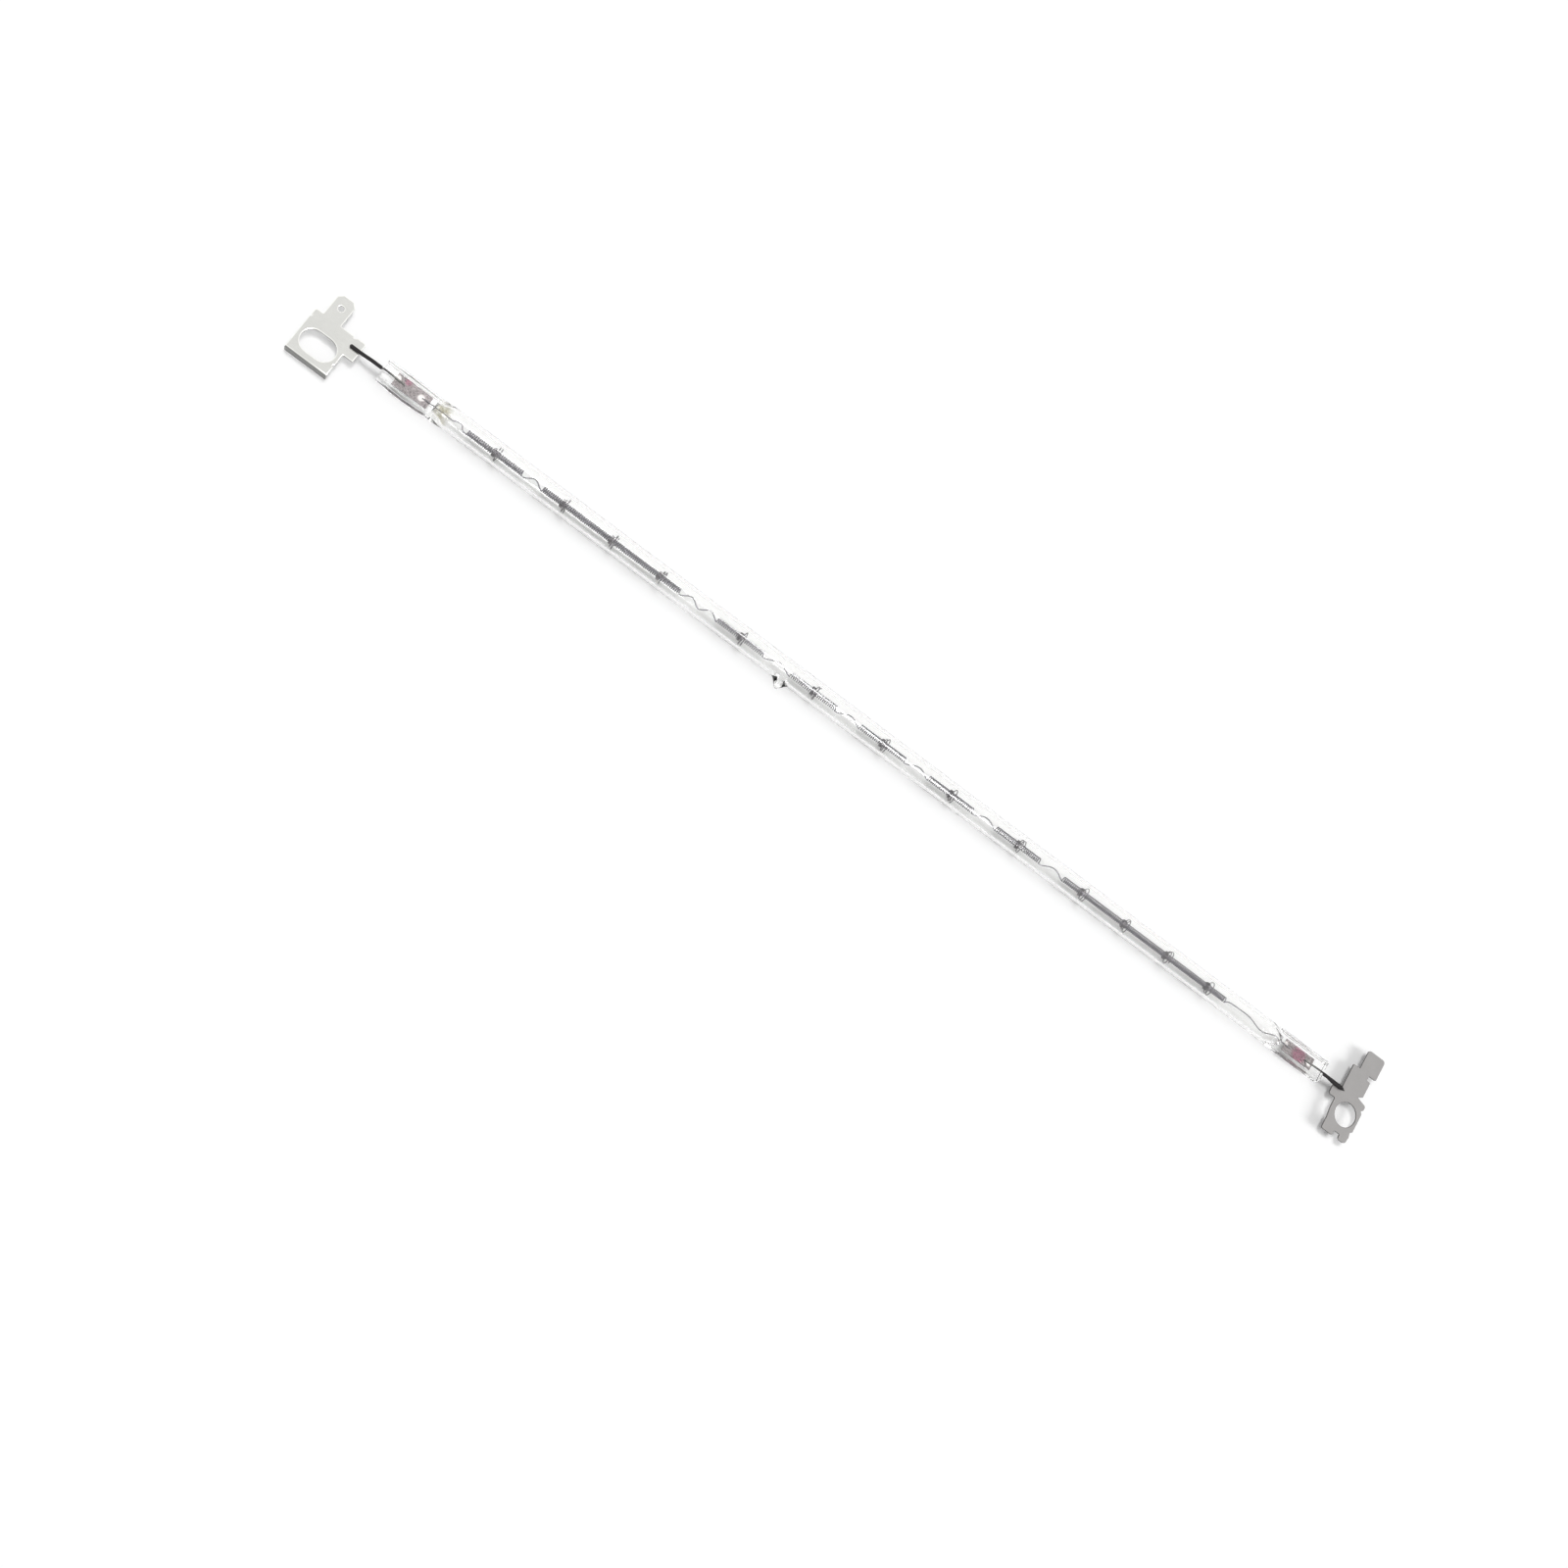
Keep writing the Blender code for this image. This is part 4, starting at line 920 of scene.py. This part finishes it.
def stamped_sheet(node, coin, roll):
    """A merged copy of a terminal, with a shallow coined band and a rolled round along its upper edges."""
    bm = bmesh.new()
    bm.from_mesh(frame["nodes"][node].data)
    # The solid's hairline chamfer closes up, so that the rims are sharp before they are coined and rolled
    bmesh.ops.remove_doubles(bm, verts=bm.verts, dist=HAIRLINE)
    for vert in bm.verts:
        for level in (PLATE_LOW, PLATE_TOP):
            if abs(vert.co.z - level) < HAIRLINE:
                vert.co.z = level
    bmesh.ops.dissolve_limit(bm, angle_limit=math.radians(LEVEL_ANGLE), verts=bm.verts, edges=bm.edges)
    rims = sharp_rims(bm, PLATE_TOP - roll / 2, PLATE_TOP + roll)
    if coin > 0.0:
        round_rims(bm, rims, coin, 1)
        for vert in bm.verts:
            if abs(PLATE_TOP - coin - vert.co.z) < coin * COIN_TOLERANCE:
                vert.co.z = PLATE_TOP - coin * COIN_DEPTH
        edge_height = PLATE_TOP - coin * COIN_DEPTH
        rims = sharp_rims(bm, edge_height - coin * COIN_TOLERANCE, edge_height + coin * COIN_TOLERANCE)
    round_rims(bm, rims, roll, ROLL_SEGMENTS)
    bmesh.ops.triangulate(bm, faces=[face for face in bm.faces if len(face.verts) > 4])
    return mesh_from(bm, node)


class LAMP_OT_terminals(bpy.types.Operator):
    """Give the two stamped terminals their rolled edges and plating"""

    bl_idname = "lamp.terminals"
    bl_label = "Terminals"

    def execute(self, context):
        lamp = sizes()
        for side, coin, roll, material, slot in (
                ("left", lamp.left_coin, lamp.left_roll, bright_nickel_material(), "bright_nickel"),
                ("right", 0.0, lamp.right_roll, dull_nickel_material(), "dull_nickel")):
            node = "terminal_" + side
            mesh = stamped_sheet(node, coin, roll)
            piece = finish_piece("spade_terminal_" + side, mesh, material, [node],
                                 smooth_angle=35.0)
            for face in piece.data.polygons:
                flat = max(abs(part) for part in face.normal) >= FLAT_SLOPE
                face.use_smooth = not flat or face.area < roll * roll
        return {"FINISHED"}


# Studio

CAMERA_PLACE = (-0.0844, -0.1564, 0.4182)
CAMERA_AIM = (-0.0110, -0.0240, 0.0030)
CAMERA_UP = (-0.5850, 0.7969, 0.1507)
CAMERA_LENS = 42.75       # mm
CAMERA_NEAR = 0.01        # nearest distance that it shows
TABLE_SIZE = 4.0
TABLE_DROP = 0.00005      # below the lamp's lowest point
# Each soft lamp: degrees from +X towards +Y, degrees above the table, degrees across
KEY_LAMP = (8.0, 27.0, 26.0)
FILL_LAMP = (108.0, 68.0, 22.0)
GLINT_LAMP = (100.0, 75.0, 10.0)
STRIP_PLACE = (0.100, -0.128, 0.500)
STRIP_SPAN = (0.40, 0.07)
STRIP_TURN = -60.0        # degrees about +Z, from +X
WALL_HEIGHT = 0.45        # sine of the angle up to which the walls darken


def white_where_seen(tree):
    """1 for rays from the camera and those that glass lets through; and 1 for those that metal mirrors."""
    path = add_node(tree, "ShaderNodeLightPath")
    seen = add_node(tree, "ShaderNodeMath", {"operation": "MAXIMUM"},
                    links={0: path.outputs["Is Camera Ray"], 1: path.outputs["Is Transmission Ray"]})
    return seen.outputs["Value"], path.outputs["Is Glossy Ray"]


def table_material():
    """Smooth white laminate: matt, a little lifted where it is looked at, so that only shadows show on it."""
    material, tree = new_material("white_table")
    plain = add_node(tree, "ShaderNodeBsdfDiffuse", values={"Color": opaque(finishes().table)})
    seen, mirrored = white_where_seen(tree)
    either = add_node(tree, "ShaderNodeMath", {"operation": "MAXIMUM"}, links={0: seen, 1: mirrored})
    lift = add_node(tree, "ShaderNodeMath", {"operation": "MULTIPLY"},
                    {1: bpy.context.scene.lamp_studio.lift}, {0: either.outputs["Value"]})
    glow = add_node(tree, "ShaderNodeEmission", links={"Strength": lift.outputs["Value"]})
    both = add_node(tree, "ShaderNodeAddShader",
                    links={0: plain.outputs["BSDF"], 1: glow.outputs["Emission"]})
    add_node(tree, "ShaderNodeOutputMaterial", links={"Surface": both.outputs["Shader"]})
    return material


def dome_world():
    """A white room: plain light all round, and walls that metal sees darken towards the table."""
    studio = bpy.context.scene.lamp_studio
    world = bpy.data.worlds.new("white_room")
    world.use_nodes = True
    tree = world.node_tree
    tree.nodes.clear()
    where = add_node(tree, "ShaderNodeTexCoord")
    parts = add_node(tree, "ShaderNodeSeparateXYZ", links={"Vector": where.outputs["Generated"]})
    walls = add_node(tree, "ShaderNodeMapRange", SMOOTH,
                     {"From Max": WALL_HEIGHT, "To Min": studio.wall}, {"Value": parts.outputs["Z"]})
    seen, mirrored = white_where_seen(tree)
    plain = add_node(tree, "ShaderNodeMix", {"data_type": "FLOAT"}, values={"A": studio.dome},
                     links={"Factor": mirrored, "B": walls.outputs["Result"]})
    level = add_node(tree, "ShaderNodeMix", {"data_type": "FLOAT"}, values={"B": 1.0},
                     links={"Factor": seen, "A": plain.outputs["Result"]})
    sky = add_node(tree, "ShaderNodeBackground", values={"Color": (1.0, 1.0, 1.0, 1.0)},
                   links={"Strength": level.outputs["Result"]})
    add_node(tree, "ShaderNodeOutputWorld", links={"Surface": sky.outputs["Background"]})
    return world


def add_lamp(name, kind, strength):
    """A lamp at the origin that shines down."""
    light = bpy.data.lights.new(name, kind)
    light.energy = strength
    item = bpy.data.objects.new(name, light)
    bpy.context.scene.collection.objects.link(item)
    return item


def far_lamp(name, strength, place):
    """A soft lamp that shines from one side: azimuth, height and softness in degrees."""
    azimuth, height, softness = (math.radians(part) for part in place)
    item = add_lamp(name, "SUN", strength)
    item.data.angle = softness
    item.rotation_euler = (0, math.pi / 2 - height, azimuth)
    return item


def linked(name, pieces, state):
    """A collection that tells a lamp to take in or to leave out these pieces."""
    group = bpy.data.collections.new(name)
    for piece in pieces:
        group.objects.link(piece)
    for member in group.collection_objects:
        member.light_linking.link_state = state
    return group


class LAMP_OT_studio(bpy.types.Operator):
    """Lay the white table, set the lamps and place the camera"""

    bl_idname = "lamp.studio"
    bl_label = "Studio"

    def execute(self, context):
        scene = context.scene
        studio = scene.lamp_studio
        bm = bmesh.new()
        bmesh.ops.create_grid(bm, x_segments=1, y_segments=1, size=TABLE_SIZE / 2)
        bmesh.ops.translate(bm, verts=bm.verts, vec=(0, 0, -TABLE_DROP))
        table = bpy.data.objects.new("table", mesh_from(bm, "table"))
        table.data.materials.append(table_material())
        scene.collection.objects.link(table)

        # Key and fill only light and cast the shadows; metal and glass mirror the strip and the walls
        key = far_lamp("key_lamp", studio.key, KEY_LAMP)
        fill = far_lamp("fill_lamp", studio.fill, FILL_LAMP)
        key.visible_glossy = fill.visible_glossy = False
        left_end = [bpy.data.objects["spade_terminal_left"]]
        key.light_linking.blocker_collection = linked("no_key_shadow", left_end, "EXCLUDE")
        glint = far_lamp("glint_lamp", studio.glint, GLINT_LAMP)
        glint.visible_diffuse = False
        wires = [item for item in scene.objects if item.name.startswith(("tungsten_", "coil_support_"))]
        glint.light_linking.receiver_collection = linked("glinting_wires", wires, "INCLUDE")
        strip = add_lamp("strip_lamp", "AREA", studio.strip)
        strip.data.shape = "RECTANGLE"
        strip.data.size, strip.data.size_y = STRIP_SPAN
        strip.location = STRIP_PLACE
        strip.rotation_euler = (0, 0, math.radians(STRIP_TURN))
        strip.visible_diffuse = False
        scene.world = dome_world()

        camera = bpy.data.objects.new("camera", bpy.data.cameras.new("camera"))
        camera.data.lens = CAMERA_LENS
        camera.data.clip_start = CAMERA_NEAR
        back = (Vector(CAMERA_PLACE) - Vector(CAMERA_AIM)).normalized()
        right = Vector(CAMERA_UP).cross(back).normalized()
        axes = Matrix((right, back.cross(right), back)).transposed()
        camera.matrix_world = Matrix.Translation(CAMERA_PLACE) @ axes.to_4x4()
        scene.collection.objects.link(camera)
        scene.camera = camera
        scene.view_settings.view_transform = "Standard"
        return {"FINISHED"}


class LAMP_PT_panel(bpy.types.Panel):
    """Lists the lamp's steps, sizes, colours and light"""

    bl_idname = "LAMP_PT_panel"
    bl_label = "Fuser Lamp"
    bl_space_type = "VIEW_3D"
    bl_region_type = "UI"
    bl_category = "Fuser Lamp"

    def draw(self, context):
        for step in STEPS:
            self.layout.operator(step.bl_idname)
        for group in (context.scene.lamp_sizes, context.scene.lamp_finishes, context.scene.lamp_studio):
            box = self.layout.box()
            for name in group.bl_rna.properties.keys():
                if name not in {"rna_type", "name"}:
                    box.prop(group, name)


STEPS = (LAMP_OT_quartz, LAMP_OT_filament, LAMP_OT_supports, LAMP_OT_foils, LAMP_OT_leads,
         LAMP_OT_terminals, LAMP_OT_studio)
GROUPS = {"lamp_sizes": LampSizes, "lamp_finishes": LampFinishes, "lamp_studio": StudioSettings}


def register():
    """Register the add-on's classes and settings."""
    for item in (*GROUPS.values(), *STEPS, LAMP_PT_panel):
        bpy.utils.register_class(item)
    for name, group in GROUPS.items():
        setattr(bpy.types.Scene, name, PointerProperty(type=group))


def unregister():
    """Take the add-on's classes and settings away."""
    for name in GROUPS:
        delattr(bpy.types.Scene, name)
    for item in (LAMP_PT_panel, *STEPS[::-1], *list(GROUPS.values())[::-1]):
        bpy.utils.unregister_class(item)


def main():
    """Build the whole picture."""
    register()
    bpy.ops.lamp.quartz()
    bpy.ops.lamp.filament()
    bpy.ops.lamp.supports()
    bpy.ops.lamp.foils()
    bpy.ops.lamp.leads()
    bpy.ops.lamp.terminals()
    bpy.ops.lamp.studio()


if __name__ == "__main__":
    main()
